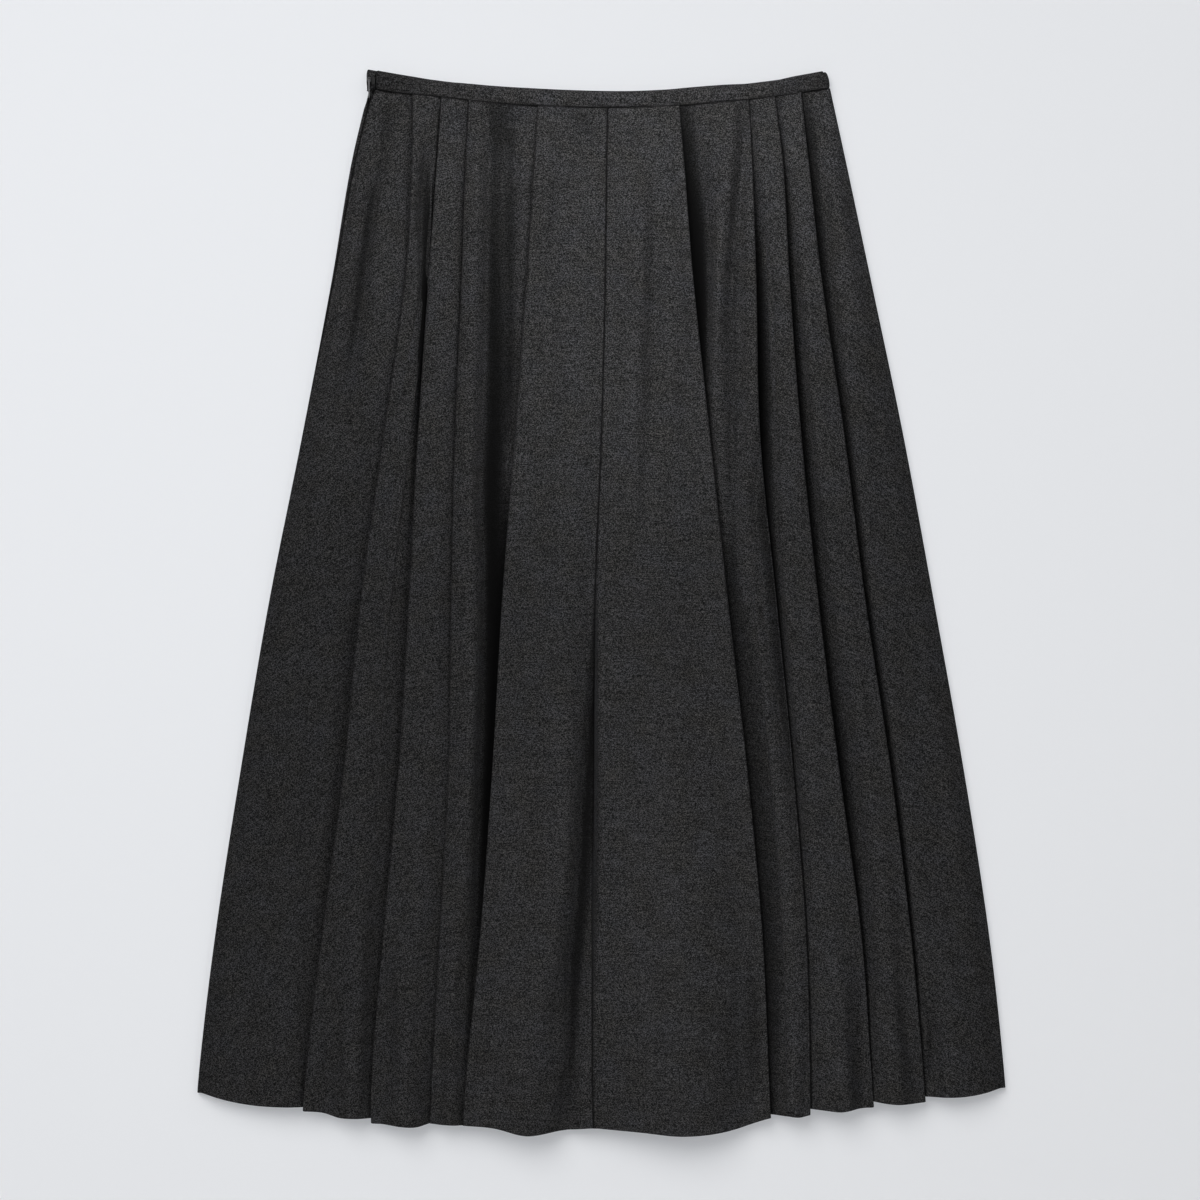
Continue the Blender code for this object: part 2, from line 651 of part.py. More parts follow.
def main():
    for thing in list(bpy.data.objects):
        bpy.data.objects.remove(thing)
    skirt = bpy.data.collections.new("pleated_midi_skirt")
    cutters = bpy.data.collections.new("cutters")
    for collection in (skirt, cutters):
        bpy.context.scene.collection.children.link(collection)
    cloth = make_material("cloth", CLOTH_COLOUR, 0.85, 0)
    tape = make_material("zip_tape", TAPE_COLOUR, 0.8, 0)
    metal = make_material("zip_metal", METAL_COLOUR, 0.35, 1)
    make_fronts(cloth, skirt)
    make_back(cloth, skirt)
    make_waistband(cloth, skirt)
    make_zip_tape(tape, skirt)
    make_zip_slider(metal, skirt, cutters)
    make_zip_pull(metal, skirt)


main()
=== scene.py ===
"""The looks of a pleated midi skirt, laid flat with its front up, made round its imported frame.

Metres, in the frame's own axes: +Z up out of the front, +Y towards the waist, and the surface that
the skirt lies on at height zero. The tables give millimetres. Each half of the front and of the
back is laid out from the centre seam to its side seam, so its distances run outwards.
"""

import json
import math
from collections import namedtuple
from functools import lru_cache

import bmesh
import bpy
from mathutils import Matrix, Vector

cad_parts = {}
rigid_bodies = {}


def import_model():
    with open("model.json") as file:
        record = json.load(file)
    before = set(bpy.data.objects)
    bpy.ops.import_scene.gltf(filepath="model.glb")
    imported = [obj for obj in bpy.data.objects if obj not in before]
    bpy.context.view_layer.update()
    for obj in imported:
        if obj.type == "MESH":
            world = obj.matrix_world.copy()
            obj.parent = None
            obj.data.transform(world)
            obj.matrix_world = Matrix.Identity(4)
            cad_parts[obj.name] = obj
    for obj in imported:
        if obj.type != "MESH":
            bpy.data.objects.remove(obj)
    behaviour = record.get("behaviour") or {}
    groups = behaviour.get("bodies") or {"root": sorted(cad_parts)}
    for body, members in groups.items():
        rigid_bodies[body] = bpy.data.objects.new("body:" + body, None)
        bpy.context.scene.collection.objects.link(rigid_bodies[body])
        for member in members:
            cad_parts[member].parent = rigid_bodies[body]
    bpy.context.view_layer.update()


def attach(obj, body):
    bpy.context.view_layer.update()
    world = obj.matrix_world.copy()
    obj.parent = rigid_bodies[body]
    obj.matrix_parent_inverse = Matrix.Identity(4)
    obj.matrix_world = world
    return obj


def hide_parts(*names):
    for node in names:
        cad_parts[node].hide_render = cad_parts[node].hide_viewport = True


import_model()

MM = 0.001
SKIRT_BODY = "skirt"
PULL_BODY = "pull_tab"

# ---------------------------------------------------------------- how the layers lie on each other

LAYER = 1.1 * MM  # room that each layer of cloth takes in the pile
CLOTH_WALL = 0.9 * MM
SEAM_GAP = 0.3 * MM
PITCH_AT_WAIST = 1.35 * MM  # middle of one layer to middle of the next, under the waistband
PITCH = 1.6 * MM  # the same where the pleats hang free
LOOSENING = 80 * MM  # length over which the pressed pleats open to the free pitch
PLEAT_LAYERS = 3
BACK_BASE = LAYER / 2
AIR = 5 * MM  # how far the loose front lies above the back's pressed pleats
AIR_FROM_WAIST = 60 * MM  # length below the waist seam over which that air opens
AIR_FROM_SIDE = 16 * MM  # and width in from the side

# ---------------------------------------------------------------- waist, hem and side seams

WAIST_RADIUS = 1000 * MM  # of the arc that the waist seam makes when laid flat
WAIST_SEAM_LOW = 385.5 * MM
WAIST_MIDDLE = 3 * MM
BAND_WIDTH = 12.7 * MM
BAND_WIDTH_AT_ZIP = 14.6 * MM
ZIP_END_STARTS = -120 * MM  # from here the waist seam drops towards the zip, and the band widens
ZIP_END_LENGTH = 60 * MM
BACK_HEM_MIDDLE = -400.5 * MM
BACK_HEM_LEFT = -382.6 * MM
BACK_HEM_RIGHT = -378.7 * MM
BACK_HEM_CURVE = 1.5  # power by which the back's hem rises towards its ends
HEM_LEVEL = -400 * MM  # height at which each panel's width at the hem is read
WRAP_AT_TOP = 3.6 * MM  # how far the left side seam lies round the roll, onto the front
WRAP_AT_HEM = 0.6 * MM
WRAP_ENDS = 95 * MM  # from this height down it is as at the hem
OPENING_LOW = 388 * MM  # between these heights the left seam opens for the zip's slider
OPENING_HIGH = 399 * MM
OPENING_FRONT = 5.6 * MM  # how far round the roll each edge lies where it is open
OPENING_BACK = -1.4 * MM

# Heights at which a line's distances are given, from the waist to the hem
LEVELS = (400, 340, 250, 130, 0, -130, -260, -370, -415)

# Distance out from the middle: centre seam, the four folded edges, side
FRONT_LEFT_LINES = (
    ("centre_seam", (-5, -4, -3, 0, 5, 6, 7, 7, 6)),
    ("pleat_1", (48, 52, 58, 67, 77, 84.5, 94, 105, 108)),
    ("pleat_2", (102.5, 105.5, 108.5, 113.5, 116.5, 118.5, 125.5, 131.5, 133.5)),
    ("pleat_3", (124, 128, 134.5, 142.5, 149.5, 157.5, 169.5, 178.5, 179)),
    ("pleat_4", (147, 147, 152.5, 169, 187, 200, 217, 230, 233)),
    ("side", (181, 195, 210, 233, 259, 281, 301, 314, 316)),
)
FRONT_RIGHT_LINES = (
    ("centre_seam", (5, 4, 3, 0, -5, -6, -7, -7, -6)),
    ("pleat_1", (59, 64, 71, 84, 98, 113, 125, 130, 132)),
    ("pleat_2", (114, 117, 120, 123, 136, 149, 159, 162, 162)),
    ("pleat_3", (134, 141, 146, 155, 168.5, 184.5, 202, 210, 213)),
    ("pleat_4", (155, 161, 171, 188.5, 205, 224.5, 240.5, 250.5, 253.5)),
    ("side", (178, 191, 210, 235, 259, 282, 302, 314, 316)),
)
BACK_ENDS = (400, -415)
BACK_LINES = (
    ("centre", (0, 0)),
    ("pleat_1", (54, 121)),
    ("pleat_2", (109, 149)),
    ("pleat_3", (130, 197)),
    ("pleat_4", (151, 243)),
)

# Each pleat: how deep it folds under, at the waist and the hem
FRONT_LEFT_DEPTHS = ((18, 56), (16, 15), (13, 28), (14, 32))
FRONT_RIGHT_DEPTHS = ((18, 60), (17, 18), (13, 32), (13, 25))
BACK_DEPTHS = ((18, 50), (17, 17), (13, 30), (13, 28))

# Each pleat: how far its folded edge stands up from the pressed height, at LEVELS
FRONT_LEFT_LIFTS = (
    ("pleat_1", (0.3, 1.2, 3.0, 4.5, 8.0, 9.0, 6.5, 1.8, 1.2)),
    ("pleat_2", (0.3, 0.7, 0.8, 0.8, 0.8, 0.8, 0.8, 0.6, 0.5)),
    ("pleat_3", (0.3, 1.8, 3.0, 1.4, 0.8, 0.8, 0.8, 0.5, 0.4)),
    ("pleat_4", (0.3, 1.5, 0.6, 0.6, 0.8, 1.6, 1.6, 0.8, 0.4)),
)
FRONT_RIGHT_LIFTS = (
    ("pleat_1", (0.6, 5.0, 7.0, 2.2, 2.4, 2.0, 1.9, 1.4, 1.6)),
    ("pleat_2", (0.3, 0.9, 2.6, 3.6, 1.5, 1.0, 0.8, 0.8, 0.8)),
    ("pleat_3", (0.3, 1.8, 3.0, 3.0, 3.0, 3.0, 2.4, 0.5, 0.5)),
    ("pleat_4", (0.6, 2.5, 3.0, 3.0, 3.0, 3.0, 1.6, 0.5, 0.5)),
)
LIP = 8 * MM  # length behind a folded edge over which its two layers rise together
NOSE = 4 * MM  # length over which they round down again to the edge itself
LEFT_DROOP = 0.3  # share of the rise that is lost there
RIGHT_DROOP = 0.0

# Each pleat: how deep the next panel dives beside its folded edge, and over what width
FRONT_LEFT_FEET = (
    ("pleat_1", (1.0, 2.5, 2.5, 0.5, 15.5, 21.5, 10.0, 1.2, 1.0), (10, 10, 10, 12, 19, 16.5, 10, 6, 5)),
    ("pleat_2", (0.5, 0.8, 1.5, 1.2, 1.2, 1.2, 2.0, 2.5, 2.5), (4, 4, 4, 4, 5, 7, 9, 12, 10)),
    ("pleat_3", (0.2, 2.5, 12.0, 5.4, 5.6, 5.6, 5.4, 3.0, 1.8), (6, 15, 8, 26, 30, 30, 24, 12, 9)),
    ("pleat_4", (0.5, 3.0, 1.0, 3.0, 5.8, 5.9, 5.6, 3.2, 1.4), (8, 9, 8, 24, 60, 60, 46, 16, 9)),
)
FRONT_RIGHT_FEET = (
    ("pleat_1", (1.0, 13.0, 30.0, 3.5, 8.2, 8.2, 7.6, 6.4, 5.4), (12, 24, 18, 5, 38, 54, 56, 42, 24)),
    ("pleat_2", (0.6, 2.5, 13.0, 16.0, 6.0, 3.0, 1.5, 1.5, 1.5), (3, 9, 17, 18, 10, 5, 4, 4, 5)),
    ("pleat_3", (1.0, 2.8, 10.0, 11.5, 9.5, 11.0, 6.5, 1.0, 0.8), (5, 7, 12, 13, 16, 22, 15, 5, 5)),
    ("pleat_4", (1.5, 9.0, 11.0, 10.0, 9.0, 8.0, 5.0, 1.2, 1.0), (8, 20, 15, 8, 7, 7, 6, 5, 5)),
)
FOOT_REACH = 12 * MM  # how far back under the pleat the dive starts
PAINTED_SHADE_DEPTH = 4 * MM  # painted shade: depth of a closed fold at which most of its colour is painted dark

# Hem height of what lies folded between two panels, as shares of the way from the one's hem to
# the next one's: at the folded edge, at the hidden fold, and past it
EDGE_FALL = 0.25
UNDER_FALL = 0.6
HIDDEN_FALL = 0.75
CENTRE_START = 0.45  # share of a pleat's height that the centre seam already has

# Hem height of each panel from its inner to its outer edge, at even steps
FRONT_LEFT_HEMS = (
    ("centre", (-409.8, -411.8, -414.9, -409.5, -407.5)),
    ("panel_1", (-407.5, -407.3, -407.0, -406.8, -405.9)),
    ("panel_2", (-405.7, -408.6, -408.2, -406.7, -405.9)),
    ("panel_3", (-402.0, -402.0, -401.2, -397.4, -396.3)),
    ("side", (-393.2, -393.1, -391.8, -388.3, -382.6)),
)
FRONT_RIGHT_HEMS = (
    ("centre", (-409.8, -412.4, -415.1, -411.8, -402.0)),
    ("panel_1", (-399.2, -399.8, -400.3, -401.0, -399.5)),
    ("panel_2", (-394.6, -395.7, -396.6, -394.5, -393.5)),
    ("panel_3", (-388.8, -390.3, -391.0, -390.6, -389.6)),
    ("side", (-385.2, -385.7, -385.2, -383.0, -378.7)),
)

# Soft ridges and troughs of the front, from the waist down. Each step is (x, y, reach towards -X,
# reach towards +X, height), below zero for a trough. One dies away where its height is zero.
CREASES = (
    ("centre_right_flute", (
        (7.5, 480, 17, 17, 0), (16, 330, 20, 20, 0.8), (41.5, -40, 33, 30, 6.2),
        (61, -439, 48, 44, 12.2))),
    ("centre_left_flute", (
        (-21.5, 313, 14, 12, 0), (-20.5, 250, 14, 12, 1), (-19, 130, 14, 10, 2.2),
        (-22.5, 0, 16, 9, 3.6), (-26, -92, 20, 8, 5), (-27.5, -170, 22, 7, 6.5),
        (-32.5, -232, 24, 8, 7.5), (-43.5, -295, 26, 12, 8.5), (-54, -357, 26, 18, 9.5),
        (-63, -439, 27, 26, 10.2))),
    ("beside_centre_seam", (
        (-5, 9, 2, 1.5, 0), (-5, -37, 3, 1.5, -6), (-7.5, -92, 4, 2.5, -13), (-12, -170, 4.6, 7, -14),
        (-16, -232, 4.2, 9, -13), (-22.5, -295, 4.4, 10, -12), (-22.5, -349, 4, 5, -10),
        (-25.5, -388, 8, 6, -8), (-29.5, -439, 12, 10, -5))),
    ("centre_seam_ridge", (
        (-0.5, 79, 3, 10, 0), (-1, 1, 3, 12, 1.6), (-2, -92, 2, 14, 4.5), (-2, -170, 2, 16, 5.5),
        (-2, -232, 3, 16, 4.5), (-3, -295, 3, 16, 2.5), (-3.5, -357, 4, 16, 1),
        (-3.5, -404, 4, 16, 0))),
    ("right_of_centre", (
        (45.5, 360, 6, 6, 0), (43, 305, 6, 6, -3), (41.5, 235, 6, 6, -4), (39.5, 157, 6, 6, -3.4),
        (36, 79, 6, 6, -2.2), (34, 17, 7, 7, 0))),
    ("right_of_centre_crest", (
        (30, 352, 14, 4, 0), (32.5, 290, 14, 4, 2), (30.5, 235, 14, 4, 2.4), (27.5, 157, 13, 4, 2.2),
        (24.5, 79, 10, 5, 1.2), (20.5, 17, 8, 6, 0))),
    ("before_right_1", (
        (48.5, 352, 5, 5, 0), (55, 305, 5, 5, -1.2), (61, 235, 5, 5, -1.8), (65, 157, 5, 5, -1.8),
        (69, 79, 5, 5, 0))),
    ("before_right_1_low", (
        (108, -108, 14, 13, 0), (110, -178, 16, 15, -2.5), (113.5, -248, 18, 16, -5),
        (116.5, -310, 18, 16, -7.5), (115, -365, 18, 17, -8), (115.5, -439, 18, 16, -5))),
    ("left_of_centre", (
        (-15.5, 393, 8, 8, -0.6), (-13.5, 368, 10, 9, -2), (-18.5, 329, 8, 8, -1),
        (-20, 298, 8, 8, 0))),
    ("left_of_centre_crest", (
        (-41, 394, 12, 9, 0.5), (-41, 360, 12, 9, 4.2), (-42.5, 321, 11, 9, 3), (-44, 282, 9, 9, 0))),
    ("left_waist_crest_1", (
        (-144.5, 393, 4, 8, 0.3), (-145.5, 364, 4, 8, 2.8), (-146, 333, 4, 6, 2.8),
        (-147.5, 301, 3, 4, 2), (-148.5, 274, 3, 3, 0))),
    ("left_of_centre_low", (
        (-31, 344, 6, 6, 0), (-34, 305, 6, 6, -2), (-39.5, 235, 7, 7, -2.6), (-40, 157, 8, 8, -2.6),
        (-43.5, 79, 9, 9, -2.6), (-44, -14, 9, 9, -2), (-48, -92, 10, 9, -1), (-48, -139, 10, 9, 0))),
    ("left_gather", (
        (-83, 393, 7, 16, -2.2), (-83, 368, 7, 15, -4.6), (-84, 340, 6, 13, -7),
        (-84.5, 282, 6, 12.5, -9.5), (-84.5, 235, 6, 12, -12), (-84, 157, 8, 12, -14.5),
        (-85.5, 79, 9, 8, -17), (-86, 17, 6.5, 5, -12.5), (-87, -45, 5, 4, -5), (-88.5, -108, 4, 3, 0))),
    ("left_gather_fold", (
        (-68, 368, 6, 5, -1.5), (-70.5, 305, 4.5, 6, -6), (-70, 235, 4, 5.5, -5.5),
        (-70.5, 157, 4, 4, -5), (-72, 111, 3, 3, 0))),
    ("left_hollow_2", (
        (-133, 368, 4, 4, 0), (-136, 340, 5, 4, -5), (-137, 305, 5, 4, -7.5), (-138.5, 266, 3.5, 3, -8),
        (-138.5, 235, 2.5, 2.5, -9.5), (-141.5, 188, 2, 2, -5), (-143, 157, 2, 2, 0))),
    ("left_crest_3", (
        (-95.5, 393, 7, 6, 0.5), (-96.5, 360, 9, 7, 2.6), (-98, 305, 7, 6, 3.4), (-101, 235, 8, 7, 4.2),
        (-102.5, 157, 9, 7, 5.6), (-102.5, 79, 12, 8, 6), (-101, -14, 14, 8, 7), (-102.5, -92, 14, 8, 7),
        (-107, -170, 12, 8, 6.5), (-109.5, -232, 11, 7, 6), (-116, -295, 8, 6, 4.5),
        (-118, -357, 8, 6, 3.5), (-118, -439, 10, 8, 4))),
    ("left_crest_2", (
        (-121, 274, 7, 6, 0), (-123, 220, 7, 6, 1.5), (-126.5, 118, 9, 7, 2.2),
        (-130.5, -14, 10, 8, 2.8), (-136, -123, 9, 8, 2.8), (-143, -232, 9, 8, 3),
        (-153, -295, 8, 9, 4.2), (-153, -357, 8, 10, 5.6), (-154.5, -439, 15, 15, 6.6))),
    ("left_trough_2", (
        (-168, -256, 5, 5, 0), (-167, -295, 5, 5, -3.5), (-168.5, -349, 7, 6, -3.5),
        (-172, -396, 7, 6, -3), (-173.5, -439, 7, 6, -3))),
    ("left_trough_3", (
        (-127.5, -318, 4, 4, 0), (-125, -357, 5, 5, -3.5), (-126.5, -396, 5, 5, -3),
        (-127.5, -439, 5, 5, -3))),
    ("left_crest_1", (
        (-174, 79, 6, 8, 0), (-182, -14, 8, 10, 1.5), (-186.5, -123, 10, 10, 2.4),
        (-189, -232, 10, 8, 3.2), (-186.5, -295, 11, 6, 4.2), (-190.5, -357, 13, 7, 4.8),
        (-192, -439, 18, 12, 5.4))),
    ("left_trough_1", (
        (-208.5, -256, 6, 8, 0), (-210, -341, 7, 8, -4), (-211.5, -396, 8, 8, -4.5),
        (-213, -439, 8, 8, -4.5))),
    ("left_crest_side", (
        (-235, 48, 16, 12, 0), (-241, -76, 20, 14, 2.2), (-246, -193, 26, 14, 3.6),
        (-241, -295, 36, 9, 4.4), (-238, -388, 42, 7, 5.4), (-238, -443, 42, 9, 5.6))),
    ("left_side_trough", (
        (-166.5, 389, 6, 6, -0.8), (-170.5, 352, 7, 6, -4), (-180.5, 305, 6, 5, -8.5),
        (-190, 235, 6, 6, -8.5), (-201.5, 157, 7, 8, -4.5), (-212.5, 95, 7, 7, 0))),
    ("right_crest_1", (
        (101.5, 395, 14, 5, 1.4), (102.5, 368, 17, 5, 5.2), (97, 305, 9, 6, 4), (90.5, 235, 6, 5, 3.5),
        (90.5, 157, 5, 5, 2.5), (94, 95, 5, 5, 1), (100, 33, 5, 5, 0))),
    ("right_gather", (
        (111.5, 389, 4, 5, -0.6), (111, 352, 4.5, 5, -2.4), (106.5, 305, 6, 5, -6),
        (104, 235, 6, 6, -6.5), (104, 157, 6, 7, -6.5), (103, 79, 5, 6, -5.5), (104, 17, 5, 5, -1.5),
        (105.5, -30, 5, 5, 0))),
    ("right_gather_crest", (
        (115.5, 336, 4, 4, 0), (115.5, 274, 5, 5, 1.5), (116.5, 212, 5, 5, 1.8), (117, 142, 5, 5, 1.6),
        (114, 79, 5, 5, 0.8), (115.5, 33, 6, 6, 0))),
    ("right_lobe_1", (
        (123.5, 17, 6, 6, 0), (125.5, -30, 6, 6, 1), (134.5, -92, 6, 6, 2.5), (143, -170, 7, 7, 3),
        (148.5, -232, 7, 6, 3.5), (152, -295, 8, 6, 4), (151.5, -357, 9, 6, 5.5),
        (147, -439, 12, 7, 7))),
    ("right_2_droop", (
        (123.5, 142, 6, 4, 0), (125.5, 79, 10, 4, -8), (132, 33, 11, 4, -9), (137.5, -14, 10, 4, -9),
        (145, -92, 9, 4, -7), (153, -170, 7, 4, -4), (157.5, -232, 4, 3, 0))),
    ("right_crest_2", (
        (136, 360, 4, 4, 0.8), (140.5, 290, 5, 5, 1.2), (143.5, 173, 6, 6, 1.5), (152, 79, 7, 6, 2),
        (160, -14, 7, 7, 2.5), (164, -108, 8, 8, 2.5), (170, -201, 8, 8, 2.5), (182.5, -279, 14, 8, 3.6),
        (189, -349, 17, 6, 6), (192, -396, 18, 6, 8), (196, -439, 20, 12, 8.5))),
    ("right_trough_2", (
        (187.5, -139, 6, 6, 0), (190.5, -178, 7, 6, -1.6), (197.5, -232, 7, 6, -2.6),
        (203, -295, 7, 5, -3.5), (205, -357, 7, 5, -4.6), (206.5, -404, 7, 5, -4.2),
        (208.5, -439, 7, 5, -4))),
    ("right_crest_3", (
        (153, 368, 4, 3, 0.8), (157, 298, 4, 4, 1.2), (162.5, 227, 5, 5, 1.5), (172.5, 149, 6, 6, 1.8),
        (184, 79, 7, 6, 2), (194.5, -14, 7, 6, 2.2), (204.5, -108, 8, 7, 2.4), (217, -178, 8, 7, 3),
        (223, -248, 10, 7, 3.8), (226, -310, 11, 7, 4.6), (230, -372, 13, 7, 5.4),
        (234, -439, 14, 10, 5.6))),
    ("right_trough_3", (
        (232.5, -271, 6, 6, 0), (238.5, -326, 7, 6, -2.6), (242.5, -357, 7, 6, -3.6),
        (250.5, -396, 7, 4, -4), (252, -439, 7, 4, -4))),
    ("right_crest_4", (
        (179.5, 391, 5, 4, 0.3), (187.5, 305, 6, 6, 1.5), (195, 235, 7, 8, 2), (201.5, 157, 8, 10, 2),
        (210.5, 79, 9, 12, 2), (221.5, -14, 10, 14, 2.2), (232.5, -108, 10, 14, 2.2),
        (243.5, -185, 10, 12, 2), (248, -248, 8, 10, 1.5), (252.5, -295, 6, 8, 1),
        (256, -326, 5, 6, 0))),
    ("right_trough_4", (
        (257.5, -302, 5, 5, 0), (259.5, -341, 6, 6, -6), (259, -369, 6, 6, -5.5),
        (257.5, -404, 5, 5, 0))),
    ("right_crest_side", (
        (254.5, -139, 14, 14, 0), (267.5, -232, 16, 16, 1), (273, -310, 18, 18, 3),
        (276, -380, 20, 20, 5.5), (281, -439, 24, 24, 6))),
)

# ---------------------------------------------------------------- where the columns and rows lie

FRONT_COLUMNS = (34, 22, 20, 20, 28)  # steps across each panel from the centre outwards
BACK_COLUMNS = (8, 8, 6, 6, 8)
FRONT_FOLD_STEPS = (9, 5)  # round the folded edge, and round the fold hidden under it
BACK_FOLD_STEPS = (6, 4)
UNDER_STEPS = 4  # along each of a pleat's two hidden layers
SEAM_COLUMNS = (0.0, 0.35, 0.7, 1.1, 1.6, 2.3, 3.4)  # distances from the centre seam
SIDE_RUN = 4.2 * MM  # length of cloth round the side that has the side's own columns
RIPPLES_START = 2 * MM  # length round from the seam at which the creases begin
SIDE_COLUMNS = (0.2, 0.4, 0.58, 0.72, 0.83, 0.91, 0.96, 1.0)  # shares of the way round to the seam
EDGE_ROWS = (0.0, 0.0005, 0.001, 0.0016, 0.0024, 0.0036, 0.0056)  # shares of the length
FRONT_ROWS = 190
BACK_ROWS = 70
BACK_DROP = 9 * MM  # width over which a back panel drops from one pleat's top to the next one's foot

# Ditches that the seams pull into the cloth
WAIST_DITCH = 0.3  # share by which the layers close up at the waist seam
WAIST_DITCH_REACH = 1.3 * MM
WAIST_DITCH_SINK = 0.5 * MM
CENTRE_DITCH = 0.9 * MM
CENTRE_DITCH_REACH = 0.9 * MM
SIDE_DITCH = 0.55 * MM
SIDE_DITCH_REACH = 0.8 * MM
SEAM_PAINTED_SHADE = 0.85  # painted shade: how much darker the cloth is painted beside its stitches
SEAM_PAINTED_SHADE_REACH = 0.85 * MM

# Tilt of the weft on each panel, from the centre outwards, in degrees up towards the right
FRONT_LEFT_GRAIN = (3, 8, 15, 25, 32)
FRONT_RIGHT_GRAIN = (-2, -8, -15, -22, -30)
BACK_LEFT_GRAIN = (2, 8, 15, 23, 31)
BACK_RIGHT_GRAIN = (-2, -8, -15, -23, -31)

Column = namedtuple("Column", "place where panel")  # a method, its arguments, and a panel's number


def blend(low, high, share):
    return low + (high - low) * share


def eased(share):
    """The share of a way, kept from 0 to 1, with a soft start and end."""
    share = min(max(share, 0.0), 1.0)
    return share * share * (3 - 2 * share)


def swell(distance, reach):
    """A soft bump: 1 at no distance, falling away smoothly over its reach."""
    return math.exp(-((distance / reach) ** 2))


def through(levels, values, at):
    """The value at a height, on a smooth curve through the values at falling levels."""
    last = len(levels) - 1

    def slope(i):
        before, after = max(i - 1, 0), min(i + 1, last)
        return (values[after] - values[before]) / (levels[after] - levels[before])

    i = 0
    while i < last - 1 and at < levels[i + 1]:
        i += 1
    step = levels[i + 1] - levels[i]
    t = (at - levels[i]) / step
    if not 0 <= t <= 1:
        end = 0 if t < 0 else last
        return values[end] + slope(end) * (at - levels[end])
    return (
        (2 * t**3 - 3 * t**2 + 1) * values[i]
        + (t**3 - 2 * t**2 + t) * step * slope(i)
        + (3 * t**2 - 2 * t**3) * values[i + 1]
        + (t**3 - t**2) * step * slope(i + 1)
    )


def zip_end(x):
    """How far along towards the zip a place of the waist is, from 0 to 1."""
    return eased((ZIP_END_STARTS - x) / ZIP_END_LENGTH)


def waist_seam(x):
    """Height of the waist seam, an arc whose ends rise towards the sides."""
    arc = WAIST_SEAM_LOW + (x - WAIST_MIDDLE) ** 2 / (2 * WAIST_RADIUS)
    return arc - (BAND_WIDTH_AT_ZIP - BAND_WIDTH) * zip_end(x)


def pitch(y):
    """Middle of one layer of a pleat to middle of the next, at a height."""
    return blend(PITCH_AT_WAIST, PITCH, eased((waist_seam(0) - y) / LOOSENING))


def front_base(y):
    """Middle of the front's lowest layer, clear of the back's pressed pleats."""
    return LAYER * 1.5 + (PLEAT_LAYERS - 1) * pitch(y) + SEAM_GAP


def air(y, inset):
    """How far the front lies above its pressed height, at a distance in from the side."""
    from_waist = eased((waist_seam(0) - y) / AIR_FROM_WAIST)
    return AIR * from_waist * eased(inset / AIR_FROM_SIDE)


def split_crease(steps):
    """A crease's steps as its heights along Y and, at each, its place, two reaches and height."""
    middles, levels, lefts, rights, heights = zip(*steps)
    return levels, middles, lefts, rights, heights


CREASE_LINES = tuple(split_crease(steps) for _name, steps in CREASES)
CREASE_STEP = 0.1  # the creases are worked out afresh this often along Y
CREASE_SPREAD = 3  # reaches past which nothing is left of a crease


@lru_cache(maxsize=None)
def creases_across(step):
    """Place, reaches and height of each crease that lies at a height, counted in steps."""
    y = step * CREASE_STEP
    return [
        tuple(through(levels, values, y) for values in (middles, lefts, rights, heights))
        for levels, middles, lefts, rights, heights in CREASE_LINES
        if levels[-1] < y < levels[0]
    ]


@lru_cache(maxsize=16)
def creases(x, y):
    """Height of the front's soft ridges and troughs at a place. The last few are kept, because a
    point asks for its own more than once."""
    x = x / MM
    total = 0.0
    for middle, left, right, height in creases_across(round(y / MM / CREASE_STEP)):
        across = x - middle
        reach = left if across < 0 else right
        if abs(across) < CREASE_SPREAD * reach:
            total += height * swell(across, reach)
    return total * MM


def side_wrap(hand, y):
    """Where the two side edges lie round the roll: how far the front's and the back's reach."""
    seam = WRAP_AT_HEM
    if hand < 0:
        seam = blend(WRAP_AT_HEM, WRAP_AT_TOP, eased((y - WRAP_ENDS) / (OPENING_LOW - WRAP_ENDS)))
    front, back = seam + SEAM_GAP / 2, seam - SEAM_GAP / 2
    if hand < 0:
        opening = eased((y - OPENING_LOW) / (OPENING_HIGH - OPENING_LOW))
        front, back = blend(front, OPENING_FRONT, opening), blend(back, OPENING_BACK, opening)
    return front, back


def side_roll(reach, y, sunk=0.0):
    """How far in and how high a point lies that is a given length round the side from its edge,
    and sunk below the roll's surface."""
    radius = (front_base(y) - BACK_BASE) / 2
    quarter = radius * math.pi / 2
    middle = BACK_BASE + radius
    if abs(reach) <= quarter:
        turn = reach / radius
        inner = radius - sunk
        return radius - inner * math.cos(turn), middle + inner * math.sin(turn)
    return radius + abs(reach) - quarter, middle + math.copysign(radius - sunk, reach)


